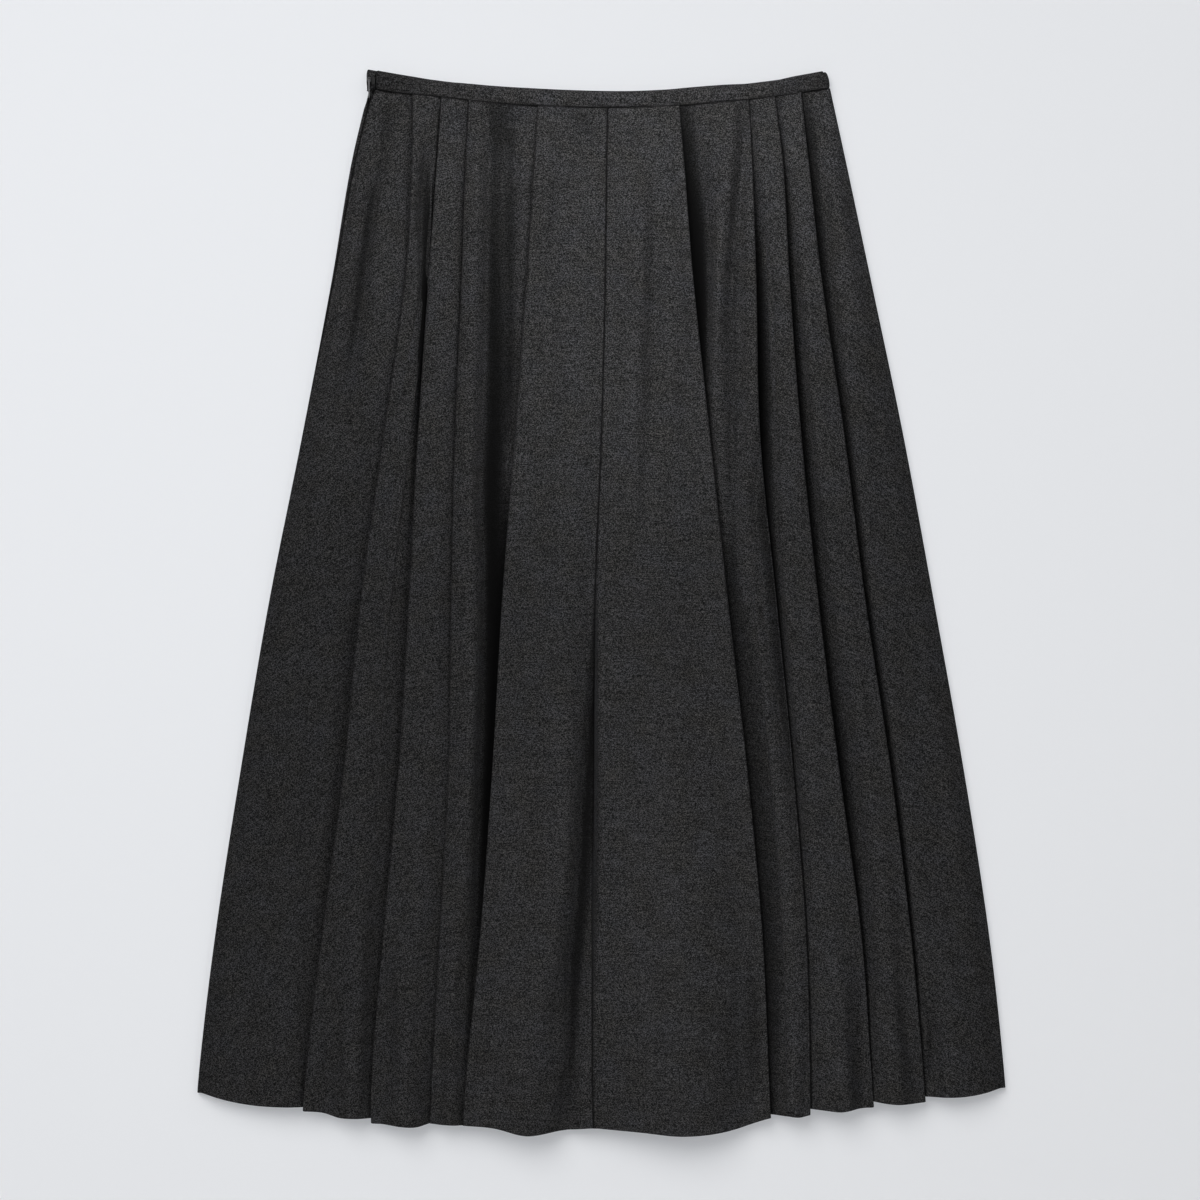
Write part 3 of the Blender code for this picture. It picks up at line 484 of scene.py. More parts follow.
class Half:
    """One half of the front or the back, laid out from the centre to its side seam."""

    def __init__(self, hand, lines, depths, lifts=None, feet=None, hems=None):
        self.hand = hand
        self.lines = lines
        self.depths = depths
        self.lifts = lifts
        self.feet = feet
        self.hems = hems
        self.is_front = hems is not None
        self.droop = LEFT_DROOP if hand < 0 else RIGHT_DROOP

    def line(self, number, y):
        values = self.lines[number][1]
        levels = LEVELS if len(values) == len(LEVELS) else BACK_ENDS
        return through(levels, values, y / MM) * MM

    def depth(self, fold, v):
        return blend(*self.depths[fold - 1], v) * MM

    def lift(self, fold, y):
        return through(LEVELS, self.lifts[fold - 1][1], y / MM) * MM if self.is_front else 0.0

    def foot(self, fold, y, past):
        """How far the lowest layer dives, at a distance past the folded edge above it."""
        if not self.is_front:
            return 0.0
        _name, depths, widths = self.feet[fold - 1]
        depth = through(LEVELS, depths, y / MM) * MM
        width = through(LEVELS, widths, y / MM) * MM
        return depth * (eased(1 + past / FOOT_REACH) if past < 0 else 1 - eased(past / width))

    def hem(self, panel, share, x):
        if not self.is_front:
            side = BACK_HEM_LEFT if x < 0 else BACK_HEM_RIGHT
            return blend(BACK_HEM_MIDDLE, side, abs(x / self.line(-1, HEM_LEVEL)) ** BACK_HEM_CURVE)
        values = self.hems[panel][1]
        steps = tuple(-step / (len(values) - 1) for step in range(len(values)))
        return through(steps, values, -share) * MM

    def height(self, level, x, y, sink=0.0):
        """Middle of the cloth at a level, counted in layers up from the pleats' hidden one."""
        ditch = swell(waist_seam(x) - y, WAIST_DITCH_REACH)
        step = pitch(y) * (1 - WAIST_DITCH * ditch)
        if self.is_front:
            loose = air(y, self.line(-1, y) - abs(x))
            base = front_base(y) - WAIST_DITCH_SINK * ditch
            return base + level * step + loose + max(creases(x, y) - sink, -loose)
        return BACK_BASE + (PLEAT_LAYERS - 1 - level) * step

    def painted_shade(self, x, y, sink=0.0):
        """Painted shade, from 0 to 1: how far the cloth's colour is darkened where a fold closes below
        the depth it is laid to, and beside the waist and centre seams.
        """
        if not self.is_front:
            return 0.0
        closed = sink - creases(x, y) - air(y, self.line(-1, y) - abs(x))
        near_seam = min(waist_seam(x) - y, self.hand * x - self.line(0, y))
        # painted shade beside the waist seam and the centre seam
        light = 1 - SEAM_PAINTED_SHADE * swell(near_seam, SEAM_PAINTED_SHADE_REACH)
        return 1 - light * math.exp(-max(closed, 0.0) / PAINTED_SHADE_DEPTH)

    def waist_place(self, number):
        """How far out a line meets the waist seam."""
        out = self.line(number, WAIST_SEAM_LOW)
        return self.line(number, waist_seam(self.hand * out))

    def along(self, panel, share, v, fall=0.0, inward=0.0):
        """Height y of a point at a share of a panel's width and a share v of its length. fall
        moves it towards the next panel's hem, for what lies folded between the two, and inward
        is how far from the fold it lies at the waist."""
        at_waist = blend(self.waist_place(panel), self.waist_place(panel + 1), share) - inward
        at_hem = blend(self.line(panel, HEM_LEVEL), self.line(panel + 1, HEM_LEVEL), share)
        top = waist_seam(self.hand * at_waist) - SEAM_GAP
        low = self.hem(panel, share, self.hand * at_hem)
        if fall:
            low = blend(low, self.hem(panel + 1, 0, self.hand * at_hem), fall)
        return blend(top, low, v)

    def point(self, out, level, y, extra=0.0, sink=0.0):
        """A place in the cloth: a point, and last how much shade is painted on its colour there."""
        x = self.hand * out
        return Vector((x, y, self.height(level, x, y, sink) + extra, self.painted_shade(x, y, sink)))

    def on_panel(self, panel, share, from_inner, v):
        """A point on a panel's open width, from the fold it comes out of to its own fold, at a
        share of what lies past a distance from its inner edge."""
        y = self.along(panel, share, v)
        at_seam = panel == 0 and self.is_front
        inner = self.line(panel, y) + (SEAM_GAP / 2 if at_seam else 0)
        fold = panel + 1
        edge = self.line(fold, y)
        outer = edge - self.fold_radius(y)
        out = blend(inner + from_inner, outer, share)
        if self.is_front:
            risen_at = edge - self.depth(fold, v) - pitch(y)
            start = CENTRE_START if panel == 0 else 0.0
        else:
            risen_at = inner + (0 if panel == 0 else BACK_DROP)
            start = 1.0 if panel == 0 else 0.0
        rise = eased((out - inner) / max(risen_at - inner, 1e-6)) if out > inner else 0.0
        level = (PLEAT_LAYERS - 1) * blend(start, 1, rise)
        width = max(edge - inner, 1e-6)
        rise = 0.5 * eased(1 - (edge - out) / width) + 0.5 * swell(outer - out, LIP)
        crest = self.lift(fold, y) * (rise - self.droop * swell(outer - out, NOSE))
        if at_seam:
            crest -= CENTRE_DITCH * swell(out - inner, CENTRE_DITCH_REACH)
        sink = self.foot(panel, y, out - inner) if panel else 0.0
        return self.point(out, level, y, crest, sink)

    def on_side_panel(self, panel, share, v):
        """A point between the outermost fold and the start of the side roll."""
        inset = self.roll_inset(self.along(panel, share, v))
        y = self.along(panel, share, v, inward=inset * share)
        inner = self.line(panel, y)
        out = blend(inner, self.line(-1, y) - inset, share)
        level = 0.0
        if not self.is_front:
            level = (PLEAT_LAYERS - 1) * eased((out - inner) / BACK_DROP)
        return self.point(out, level, y, sink=self.foot(panel, y, out - inner))

    def roll_start(self, y):
        """Length round the roll at which the side panel gives way to the side's own columns."""
        front, back = side_wrap(self.hand, y)
        return (front if self.is_front else -back) + SIDE_RUN

    def roll_inset(self, y):
        reach = self.roll_start(y)
        return side_roll(reach if self.is_front else -reach, y)[0]

    def on_side(self, share, v):
        """A point on the side roll, from the side panel to the seam."""
        inset = 0.0
        for _pass in range(2):  # the second knows how far in from the side line the point lies
            y = self.along(len(self.lines) - 2, 1, v, inward=inset)
            front, back = side_wrap(self.hand, y)
            start = self.roll_start(y)
            end = front if self.is_front else back
            reach = blend(start if self.is_front else -start, end, share)
            sunk = SIDE_DITCH * swell(reach - end, SIDE_DITCH_REACH)
            inset, height = side_roll(reach, y, sunk)
        x = self.hand * (self.line(-1, y) - inset)
        raised = creases(x, y) * eased((reach - RIPPLES_START) / SIDE_RUN) if self.is_front else 0.0
        near_seam = min(abs(reach - end), waist_seam(x) - y)
        # and last the shade painted beside the side seam and the waist
        return Vector((x, y, height + raised, SEAM_PAINTED_SHADE * swell(near_seam, SEAM_PAINTED_SHADE_REACH)))

    def fold_radius(self, y):
        return pitch(y) / 2

    def on_outer_fold(self, fold, turn, v):
        """A point on a pleat's folded edge, turned from its top layer to the layer below."""
        y = self.along(fold - 1, 1, v, fall=EDGE_FALL * turn)
        radius = self.fold_radius(y)
        angle = math.pi * (0.5 - turn)
        out = self.line(fold, y) - radius * (1 - math.cos(angle))
        x = self.hand * out
        upper = self.height(PLEAT_LAYERS - 1, x, y)
        lower = self.height(PLEAT_LAYERS - 2, x, y)
        between = blend(lower, upper, (1 + math.sin(angle)) / 2)
        return Vector((x, y, between + self.lift(fold, y) * (1 - self.droop), 0))

    def on_under_layer(self, fold, share, v):
        """A point on the layer that runs back under the pleat, from its edge to its inner fold."""
        inward = self.depth(fold, 0) * share
        y = self.along(fold - 1, 1, v, fall=blend(EDGE_FALL, UNDER_FALL, share), inward=inward)
        edge = self.line(fold, y)
        start = edge - self.fold_radius(y)
        end = edge - self.depth(fold, v) + pitch(y) / 2
        out = blend(start, end, share)
        rise = self.lift(fold, y) * (1 - self.droop) * swell(start - out, LIP)
        return self.point(out, PLEAT_LAYERS - 2, y, rise)

    def on_inner_fold(self, fold, turn, v):
        """A point on the hidden fold, turned from the layer below to the lowest one."""
        inward = self.depth(fold, 0)
        y = self.along(fold - 1, 1, v, fall=blend(UNDER_FALL, HIDDEN_FALL, turn), inward=inward)
        angle = math.pi * (0.5 + turn)
        out = self.line(fold, y) - self.depth(fold, v) + pitch(y) / 2 * (1 + math.cos(angle))
        return self.point(out, (PLEAT_LAYERS - 2) * (1 + math.sin(angle)) / 2, y)

    def on_hidden_part(self, fold, share, v):
        """A point on the lowest layer, from the hidden fold out to where the panel shows."""
        inward = self.depth(fold, 0) * (1 - share)
        y = self.along(fold - 1, 1, v, fall=blend(HIDDEN_FALL, 1, share), inward=inward)
        edge = self.line(fold, y)
        start = edge - self.depth(fold, v) + pitch(y) / 2
        out = blend(start, edge, share)
        return self.point(out, 0, y, sink=self.foot(fold, y, out - edge))

    def columns(self, panel_columns, fold_steps):
        """The places across the half that the mesh's columns follow, from centre to side."""
        outer_steps, inner_steps = fold_steps
        hidden = [step / UNDER_STEPS for step in range(1, UNDER_STEPS)]
        places = []
        for panel, count in enumerate(panel_columns):
            shares = [step / count for step in range(count + 1)]
            if panel:
                places += [Column(self.on_hidden_part, (panel, share), panel) for share in hidden]
            if panel == len(panel_columns) - 1:
                places += [Column(self.on_side_panel, (panel, share), panel) for share in shares]
                break
            from_inner = 0.0
            if panel == 0 and self.is_front:
                places += [Column(self.on_panel, (0, 0.0, near * MM), 0) for near in SEAM_COLUMNS]
                from_inner = SEAM_COLUMNS[-1] * MM
                shares = shares[1:]
            places += [Column(self.on_panel, (panel, share, from_inner), panel) for share in shares]
            fold = panel + 1
            turns = [(step + 1) / outer_steps for step in range(outer_steps)]
            places += [Column(self.on_outer_fold, (fold, turn), panel) for turn in turns]
            places += [Column(self.on_under_layer, (fold, share), panel) for share in hidden]
            turns = [step / inner_steps for step in range(inner_steps + 1)]
            places += [Column(self.on_inner_fold, (fold, turn), panel + 1) for turn in turns]
        last = len(panel_columns) - 1
        places += [Column(self.on_side, (share,), last) for share in SIDE_COLUMNS]
        return places


def length_rows(steps):
    """Shares of the length at which the rows lie, close together beside the waist and the hem."""
    near = EDGE_ROWS[-1]
    middle = [blend(near, 1 - near, step / steps) for step in range(1, steps)]
    return list(EDGE_ROWS) + middle + [1 - share for share in reversed(EDGE_ROWS)]


# ---------------------------------------------------------------- making pieces

WELD_DISTANCE = 0.01 * MM


def add_piece(name, mesh, finish, body=SKIRT_BODY):
    """An object made from a finished mesh, riding on its body."""
    data = bpy.data.meshes.new(name)
    mesh.to_mesh(data)
    mesh.free()
    data.shade_smooth()
    data.materials.append(finish)
    piece = bpy.data.objects.new(name, data)
    bpy.context.scene.collection.objects.link(piece)
    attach(piece, body)
    return piece


def add_wall(piece, thickness):
    """Gives an open sheet its thickness."""
    wall = piece.modifiers.new("Wall", "SOLIDIFY")
    wall.thickness = thickness
    wall.offset = 0
    wall.use_even_offset = True


def panel_middles(columns):
    """For each panel, the column in the middle of its open width."""
    middles = {}
    for panel in {column.panel for column in columns}:
        open_width = [
            number for number, column in enumerate(columns)
            if column.panel == panel and column.place.__name__ in ("on_panel", "on_side_panel")
        ]
        middles[panel] = open_width[len(open_width) // 2]
    return middles


def lay_grain(mesh, spots, columns, grain, hand):
    """The cloth's own map, in metres along its weft and its warp. Each panel is measured out from
    its middle, round its folds, and turned to the tilt of its weft."""
    places = {spot: vertex.co for vertex, spot in spots.items()}
    rows = max(down for _across, down in places) + 1
    run = {}
    for down in range(rows):
        length = 0.0
        run[0, down] = 0.0
        for across in range(1, len(columns)):
            length += (places[across, down] - places[across - 1, down]).length
            run[across, down] = length
    middles = panel_middles(columns)
    layer = mesh.loops.layers.uv.new("Grain")
    for face in mesh.faces:
        across = min(spots[vertex][0] for vertex in face.verts)
        panel = columns[across].panel
        middle = middles[panel]
        tilt = math.radians(grain[panel])
        for loop in face.loops:
            spot = spots[loop.vert]
            centre = places[middle, spot[1]]
            out = centre.x + hand * (run[spot] - run[middle, spot[1]])
            up = places[spot].y
            weft = out * math.cos(tilt) + up * math.sin(tilt)
            warp = up * math.cos(tilt) - out * math.sin(tilt)
            loop[layer].uv = (weft, warp)


def lay_cloth(columns, rows, grain, hand):
    """A sheet of cloth: a grid whose points are placed by its columns and rows."""
    mesh = bmesh.new()
    wide, long = len(columns) - 1, len(rows) - 1
    bmesh.ops.create_grid(mesh, x_segments=wide, y_segments=long, size=0.5)
    # the shade painted on each point's colour, in closed folds and beside seams
    painted_shade = mesh.verts.layers.float.new("PaintedShade")
    spots = {}
    for vertex in mesh.verts:
        across = round((vertex.co.x + 0.5) * wide)
        down = round((0.5 - vertex.co.y) * long)
        spots[vertex] = (across, down)
        column = columns[across]
        place = column.place(*column.where, rows[down])
        vertex.co = place.xyz
        vertex[painted_shade] = place.w
    lay_grain(mesh, spots, columns, grain, hand)
    return mesh


def cut_area(mesh):
    """Area of a sheet before it is given its thickness, which is the area it was cut to."""
    return sum(face.calc_area() for face in mesh.faces)


FRONT_LEFT = Half(
    -1, FRONT_LEFT_LINES, FRONT_LEFT_DEPTHS, FRONT_LEFT_LIFTS, FRONT_LEFT_FEET, FRONT_LEFT_HEMS)
FRONT_RIGHT = Half(
    1, FRONT_RIGHT_LINES, FRONT_RIGHT_DEPTHS, FRONT_RIGHT_LIFTS, FRONT_RIGHT_FEET, FRONT_RIGHT_HEMS)


def sew_front(node, half, grain, finish):
    """Half of the front, from the centre seam to the side seam, with its four pleats."""
    columns = half.columns(FRONT_COLUMNS, FRONT_FOLD_STEPS)
    mesh = lay_cloth(columns, length_rows(FRONT_ROWS), grain, half.hand)
    area = cut_area(mesh)
    piece = add_piece(f"{node}_cloth", mesh, finish)
    add_wall(piece, CLOTH_WALL)
    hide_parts(node)


def sew_back(finish):
    """One panel from side seam to side seam, its pleats pressed flat under it."""
    halves = [
        Half(hand, (*BACK_LINES, front_lines[-1]), BACK_DEPTHS)
        for hand, front_lines in ((-1, FRONT_LEFT_LINES), (1, FRONT_RIGHT_LINES))
    ]
    left, right = (half.columns(BACK_COLUMNS, BACK_FOLD_STEPS) for half in halves)
    last = len(BACK_LEFT_GRAIN) - 1
    left = [column._replace(panel=last - column.panel) for column in left[::-1]]
    right = [column._replace(panel=last + 1 + column.panel) for column in right[1:]]
    grain = BACK_LEFT_GRAIN[::-1] + BACK_RIGHT_GRAIN
    mesh = lay_cloth(left + right, length_rows(BACK_ROWS), grain, 1)
    area = cut_area(mesh)
    piece = add_piece("back_cloth", mesh, finish)
    add_wall(piece, CLOTH_WALL)
    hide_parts("back")


# ---------------------------------------------------------------- waistband

BAND_WALL = 3.6 * MM
BAND_RISE = 0.2 * MM
BAND_OVERLAP = 0.45 * MM  # how far the band's lower edge rolls over the waist seam
BAND_LEFT_FRONT = -175.7 * MM
BAND_LEFT_BACK = -183.2 * MM
BAND_RIGHT = 178.6 * MM
BAND_RIGHT_SLANT = 2.4 * MM
BAND_CROWN = 2.1  # power by which the band's faces round away to its edges
BAND_AROUND = 40  # steps round its section
BAND_STEPS = 150  # steps along its front, and along its back
BAND_TURN_STEPS = 12
BAND_ENDS = (0.0, 0.15, 0.4, 0.8, 1.4)  # distances from each end at which its section is drawn in
BAND_END_LEAST = 0.35  # share of its section that is left at the very end

# How far the band's front wavers up or down from its arc, at places along X
BAND_WAVE_PLACES = (180, 165, 150, 133, 116, 95, 72, 50, 20, -20, -54, -82, -105, -126, -145, -176)
BAND_WAVES = (1.2, 1.0, 0.6, -0.7, -0.6, 0.6, 0.7, 0.0, -0.2, 0.3, 0.5, 0.2, 0.0, -0.6, -0.1, 0.2)
# Painted shade on the band's front towards its ends, where its waves lie in shadow: place along X,
# reach, and how dark
BAND_END_SHADES = ((-170, 14, 0.3), (-146, 12, 0.16), (172, 16, 0.28), (140, 12, 0.12))
BAND_PUFFS = ((31, 0.3), (17, 0.16), (73, 0.3))  # its front's slight waves: length, height
BAND_PUFF_SLANT = 9  # radians by which a wave's top runs ahead of its middle


def band_middle(part, along, up):
    """The middle of the band's section: along one of its three parts, and up its slanted end."""
    front_height = front_base(waist_seam(0)) + (PLEAT_LAYERS - 1) * PITCH_AT_WAIST / 2 + BAND_RISE
    back_height = BAND_WALL / 2
    radius = (front_height - back_height) / 2
    right = BAND_RIGHT - BAND_RIGHT_SLANT * up - BAND_WALL / 2 - radius
    if part == "front":
        return blend(BAND_LEFT_FRONT, right, along), front_height, 0.0
    if part == "turn":
        angle = math.pi * along
        x = right + radius * math.sin(angle)
        return x, back_height + radius * (1 + math.cos(angle)), angle
    return blend(right, BAND_LEFT_BACK, along), back_height, math.pi


def band_point(part, along, size, around):
    """A point on the band's skin: around its section from its top edge over its outer face."""
    angle = math.tau * around
    across = math.cos(angle)
    out = math.copysign(math.sqrt(1 - abs(across) ** BAND_CROWN), math.sin(angle))
    up = 0.5 + 0.5 * across * size
    x, z, turn = band_middle(part, along, up)
    width = blend(BAND_WIDTH, BAND_WIDTH_AT_ZIP, zip_end(x))
    wave = through(BAND_WAVE_PLACES, BAND_WAVES, x / MM) * MM if part == "front" else 0.0
    thick = BAND_WALL / 2 * size
    if part == "front" and out > 0:
        slant = BAND_PUFF_SLANT * across
        thick += sum(high * math.sin(math.tau * x / MM / long + slant) for long, high in BAND_PUFFS) * MM
    thick *= out
    y = waist_seam(x) - BAND_OVERLAP + (width + BAND_OVERLAP) * up + wave * up
    return Vector((x + thick * math.sin(turn), y, z + thick * math.cos(turn)))


def band_end(near):
    """Share of its section that the band has at a distance from its end."""
    rounded = math.sqrt(1 - (1 - near / BAND_ENDS[-1]) ** 2)
    return blend(BAND_END_LEAST, 1, rounded)


def band_columns():
    """Along the band's front from the zip, round the right side and along its back: at each step
    the part, the share of the way along it, and the share of the whole section there."""
    length = BAND_RIGHT - BAND_LEFT_FRONT
    ends = [(near * MM / length, band_end(near)) for near in BAND_ENDS]
    start = ends[-1][0]
    shares = [step / BAND_STEPS for step in range(1, BAND_STEPS + 1)]
    return (
        [("front", near, size) for near, size in ends]
        + [("front", blend(start, 1, share), 1.0) for share in shares]
        + [("turn", step / BAND_TURN_STEPS, 1.0) for step in range(1, BAND_TURN_STEPS + 1)]
        + [("back", blend(0, 1 - start, share), 1.0) for share in shares[:-1]]
        + [("back", 1 - near, size) for near, size in reversed(ends)]
    )


def band_painted_shade(place, around):
    """Painted shade on the band's colour: beside its seam, and towards its ends, on its outer face
    alone.
    """
    if around >= 0.5:
        return 0.0
    above_seam = place.y - waist_seam(place.x) + BAND_OVERLAP
    shade_at_ends = sum(dark * swell(place.x - at * MM, reach * MM) for at, reach, dark in BAND_END_SHADES)
    return max(SEAM_PAINTED_SHADE * swell(above_seam, SEAM_PAINTED_SHADE_REACH), shade_at_ends)


def sew_waistband(finish):
    """One folded strip that starts and ends at the zip, its ends rounded off and closed."""
    columns = band_columns()
    mesh = bmesh.new()
    wide = len(columns) - 1
    bmesh.ops.create_grid(mesh, x_segments=wide, y_segments=BAND_AROUND, size=0.5)
    grain = mesh.loops.layers.uv.new("Grain")
    # the shade painted on the band's colour, beside its seam and towards its ends
    painted_shade = mesh.verts.layers.float.new("PaintedShade")
    spots = {}
    for vertex in mesh.verts:
        across = round((vertex.co.x + 0.5) * wide)
        around = vertex.co.y + 0.5
        spots[vertex] = (across, around)
        vertex.co = band_point(*columns[across], around)
        vertex[painted_shade] = band_painted_shade(vertex.co, around)
    run = [0.0]
    for here, there in zip(columns, columns[1:]):
        run.append(run[-1] + (band_point(*there, 0.25) - band_point(*here, 0.25)).length)
    for face in mesh.faces:
        for loop in face.loops:
            across, around = spots[loop.vert]
            loop[grain].uv = (run[across], (BAND_WIDTH + BAND_WALL) * 2 * around)
    bmesh.ops.remove_doubles(mesh, verts=mesh.verts, dist=WELD_DISTANCE)
    open_edges = [edge for edge in mesh.edges if edge.is_boundary]
    bmesh.ops.holes_fill(mesh, edges=open_edges, sides=0)
    bmesh.ops.recalc_face_normals(mesh, faces=mesh.faces)
    band = add_piece("waistband_cloth", mesh, finish)
    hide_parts("waistband")


# ---------------------------------------------------------------- zip

ZIP_ROWS = (  # y, left edge, right edge, height of the middle
    (409.2, -182.8, -176.3, 4.5),
    (402.4, -182.8, -176.3, 4.5),
    (400.6, -182.8, -179.6, 4.4),
    (399.0, -182.6, -180.9, 4.1),
    (392.6, -179.6, -176.2, 2.9),
    (384.0, -181.6, -176.2, 2.9),
    (362.0, -187.0, -181.2, 2.9),
    (330.0, -194.0, -188.0, 2.9),
    (270.0, -203.8, -197.8, 2.9),
    (214.0, -213.2, -207.2, 2.9),
)
ZIP_LEVELS, ZIP_LEFTS, ZIP_RIGHTS, ZIP_HEIGHTS = zip(*ZIP_ROWS)
TAPE_WALL = 0.5 * MM
TAPE_COLUMNS = 3
TAPE_STEPS = 120
TAPE_GAP = 0.1  # share of the whole width left open between the two tapes
TOOTH_PITCH = 1.25 * MM
TOOTH_SIZE = Vector((2.0, 0.75, 0.7)) * MM
TOOTH_ROUNDING = 0.2 * MM
TOOTH_STAGGER = 0.45 * MM
TOOTH_LIFT = 0.45 * MM
SLIDER_LOW = Vector((-179.9, 402.6, 5.3)) * MM
SLIDER_HIGH = Vector((-176.0, 408.9, 8.7)) * MM
SLIDER_FOOT = 0.72  # its width at the foot, as a share of the width at its shoulders
SLIDER_ROUNDING = 0.8 * MM
PLATE_EDGE = 0.2 * MM  # radius of the rims of the flat metal plates
PULL_AXIS = Vector((-181.2, 407.0, 7.0)) * MM
PULL_WALL = 0.9 * MM
PULL_WIDTH = 3.2 * MM
PULL_LENGTH = 14.4 * MM
PULL_CORNER = 0.9 * MM
PULL_SLOT = 1.6 * MM
PULL_SLOT_LENGTH = 3.2 * MM
PULL_SLOT_CORNER = 0.6 * MM
BRIDGE_WALL = 1.2 * MM
BRIDGE_WINDOW = 0.9 * MM  # half the side of the square opening that the pull tab hangs in
BRIDGE_LEG = 0.8 * MM
BRIDGE_ROOT = 1.1 * MM  # how far the bridge runs into the slider
BRIDGE_CORNER = 0.6 * MM
BRIDGE_WINDOW_CORNER = 0.3 * MM
CORNER_STEPS = 6
SHARP_ANGLE = math.radians(40)


def zip_place(share, y):
    """A point on the zip's middle surface: a share of the way across, at a height."""
    left = through(ZIP_LEVELS, ZIP_LEFTS, y / MM)
    right = through(ZIP_LEVELS, ZIP_RIGHTS, y / MM)
    return Vector((blend(left, right, share), y / MM, through(ZIP_LEVELS, ZIP_HEIGHTS, y / MM))) * MM


def make_zip_tapes(finish):
    """Two narrow woven tapes, side by side, that the coil is sewn to."""
    mesh = bmesh.new()
    top, foot = ZIP_LEVELS[0] * MM, ZIP_LEVELS[-1] * MM
    grain = mesh.loops.layers.uv.new("Grain")
    for start, end in ((0.0, 0.5 - TAPE_GAP / 2), (0.5 + TAPE_GAP / 2, 1.0)):
        made = bmesh.ops.create_grid(mesh, x_segments=TAPE_COLUMNS, y_segments=TAPE_STEPS, size=0.5)
        for vertex in made["verts"]:
            share = blend(start, end, vertex.co.x + 0.5)
            vertex.co = zip_place(share, blend(foot, top, vertex.co.y + 0.5))
    for face in mesh.faces:
        for loop in face.loops:
            loop[grain].uv = loop.vert.co.xy
    area = cut_area(mesh)
    tapes = add_piece("zip_tapes", mesh, finish)
    add_wall(tapes, TAPE_WALL)
    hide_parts("zip_tape")


def make_zip_coil(finish):
    """The coil's turns, as small rounded bars that reach across from tape to tape in turn."""
    mesh = bmesh.new()
    top, foot = ZIP_LEVELS[0] * MM, ZIP_LEVELS[-1] * MM
    count = int((top - foot) / TOOTH_PITCH)
    for number in range(count):
        y = top - (number + 0.5) * TOOTH_PITCH
        side = 1 if number % 2 else -1
        made = bmesh.ops.create_cube(mesh, size=1)
        bmesh.ops.scale(mesh, vec=TOOTH_SIZE, verts=made["verts"])
        edges = list({edge for vertex in made["verts"] for edge in vertex.link_edges})
        made = bmesh.ops.bevel(
            mesh, geom=edges, offset=TOOTH_ROUNDING, offset_type="OFFSET", affect="EDGES",
            segments=1, profile=0.5, material=-1)
        verts = list({vertex for face in made["faces"] for vertex in face.verts})
        middle = zip_place(0.5, y) + Vector((side * TOOTH_STAGGER, 0, TOOTH_LIFT))
        bmesh.ops.translate(mesh, vec=middle, verts=verts)
    return add_piece("zip_coil", mesh, finish)


def rounded_outline(curve, low, high, radius):
    """A closed spline round a rectangle with round corners, in the curve's own plane."""
    corners = (
        (high[0] - radius, high[1] - radius, 0),
        (low[0] + radius, high[1] - radius, 90),
        (low[0] + radius, low[1] + radius, 180),
        (high[0] - radius, low[1] + radius, 270),
    )
    places = []
    for x, y, start in corners:
        for step in range(CORNER_STEPS + 1):
            angle = math.radians(start + 90 * step / CORNER_STEPS)
            places.append((x + radius * math.cos(angle), y + radius * math.sin(angle), 0, 1))
    spline = curve.splines.new("POLY")
    spline.points.add(len(places) - 1)
    for point, place in zip(spline.points, places):
        point.co = place
    spline.use_cyclic_u = True


def flat_plate(rim, hole, thickness):
    """A mesh of a flat plate with one hole, lying in XY, its rims rounded by a bevel. The rim and
    the hole are each a rectangle's low and high corner and the radius of its corners."""
    curve = bpy.data.curves.new("plate", "CURVE")
    curve.dimensions = "2D"
    curve.fill_mode = "BOTH"
    curve.extrude = thickness / 2 - PLATE_EDGE
    curve.bevel_depth = PLATE_EDGE
    curve.bevel_resolution = 2
    for (low, high, radius), inward in ((rim, PLATE_EDGE), (hole, -PLATE_EDGE)):
        low, high = [x + inward for x in low], [x - inward for x in high]
        rounded_outline(curve, low, high, radius)
    holder = bpy.data.objects.new("plate", curve)
    bpy.context.scene.collection.objects.link(holder)
    bpy.context.view_layer.update()
    solid = holder.evaluated_get(bpy.context.evaluated_depsgraph_get())
    data = bpy.data.meshes.new_from_object(solid)
    mesh = bmesh.new()
    mesh.from_mesh(data)
    bpy.data.objects.remove(holder)
    bmesh.ops.remove_doubles(mesh, verts=mesh.verts, dist=WELD_DISTANCE)
    bmesh.ops.recalc_face_normals(mesh, faces=mesh.faces)
    return mesh


def make_zip_pull(finish):
    """A flat tab with a slot, standing on edge, whose upper bar hangs in the slider's bridge."""
    bar = PULL_WALL / 2
    rim = ((-PULL_WIDTH / 2, -PULL_LENGTH), (PULL_WIDTH / 2, bar), PULL_CORNER)
    slot = ((-PULL_SLOT / 2, -bar - PULL_SLOT_LENGTH), (PULL_SLOT / 2, -bar), PULL_SLOT_CORNER)
    mesh = flat_plate(rim, slot, PULL_WALL)
    on_edge = Matrix.Rotation(-math.pi / 2, 3, "Y")
    bmesh.ops.rotate(mesh, cent=(0, 0, 0), matrix=on_edge, verts=mesh.verts)
    bmesh.ops.translate(mesh, vec=PULL_AXIS, verts=mesh.verts)
    pull = add_piece("zip_pull_tab", mesh, finish, PULL_BODY)
    pull.data.set_sharp_from_angle(angle=SHARP_ANGLE)
    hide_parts("zip_pull")


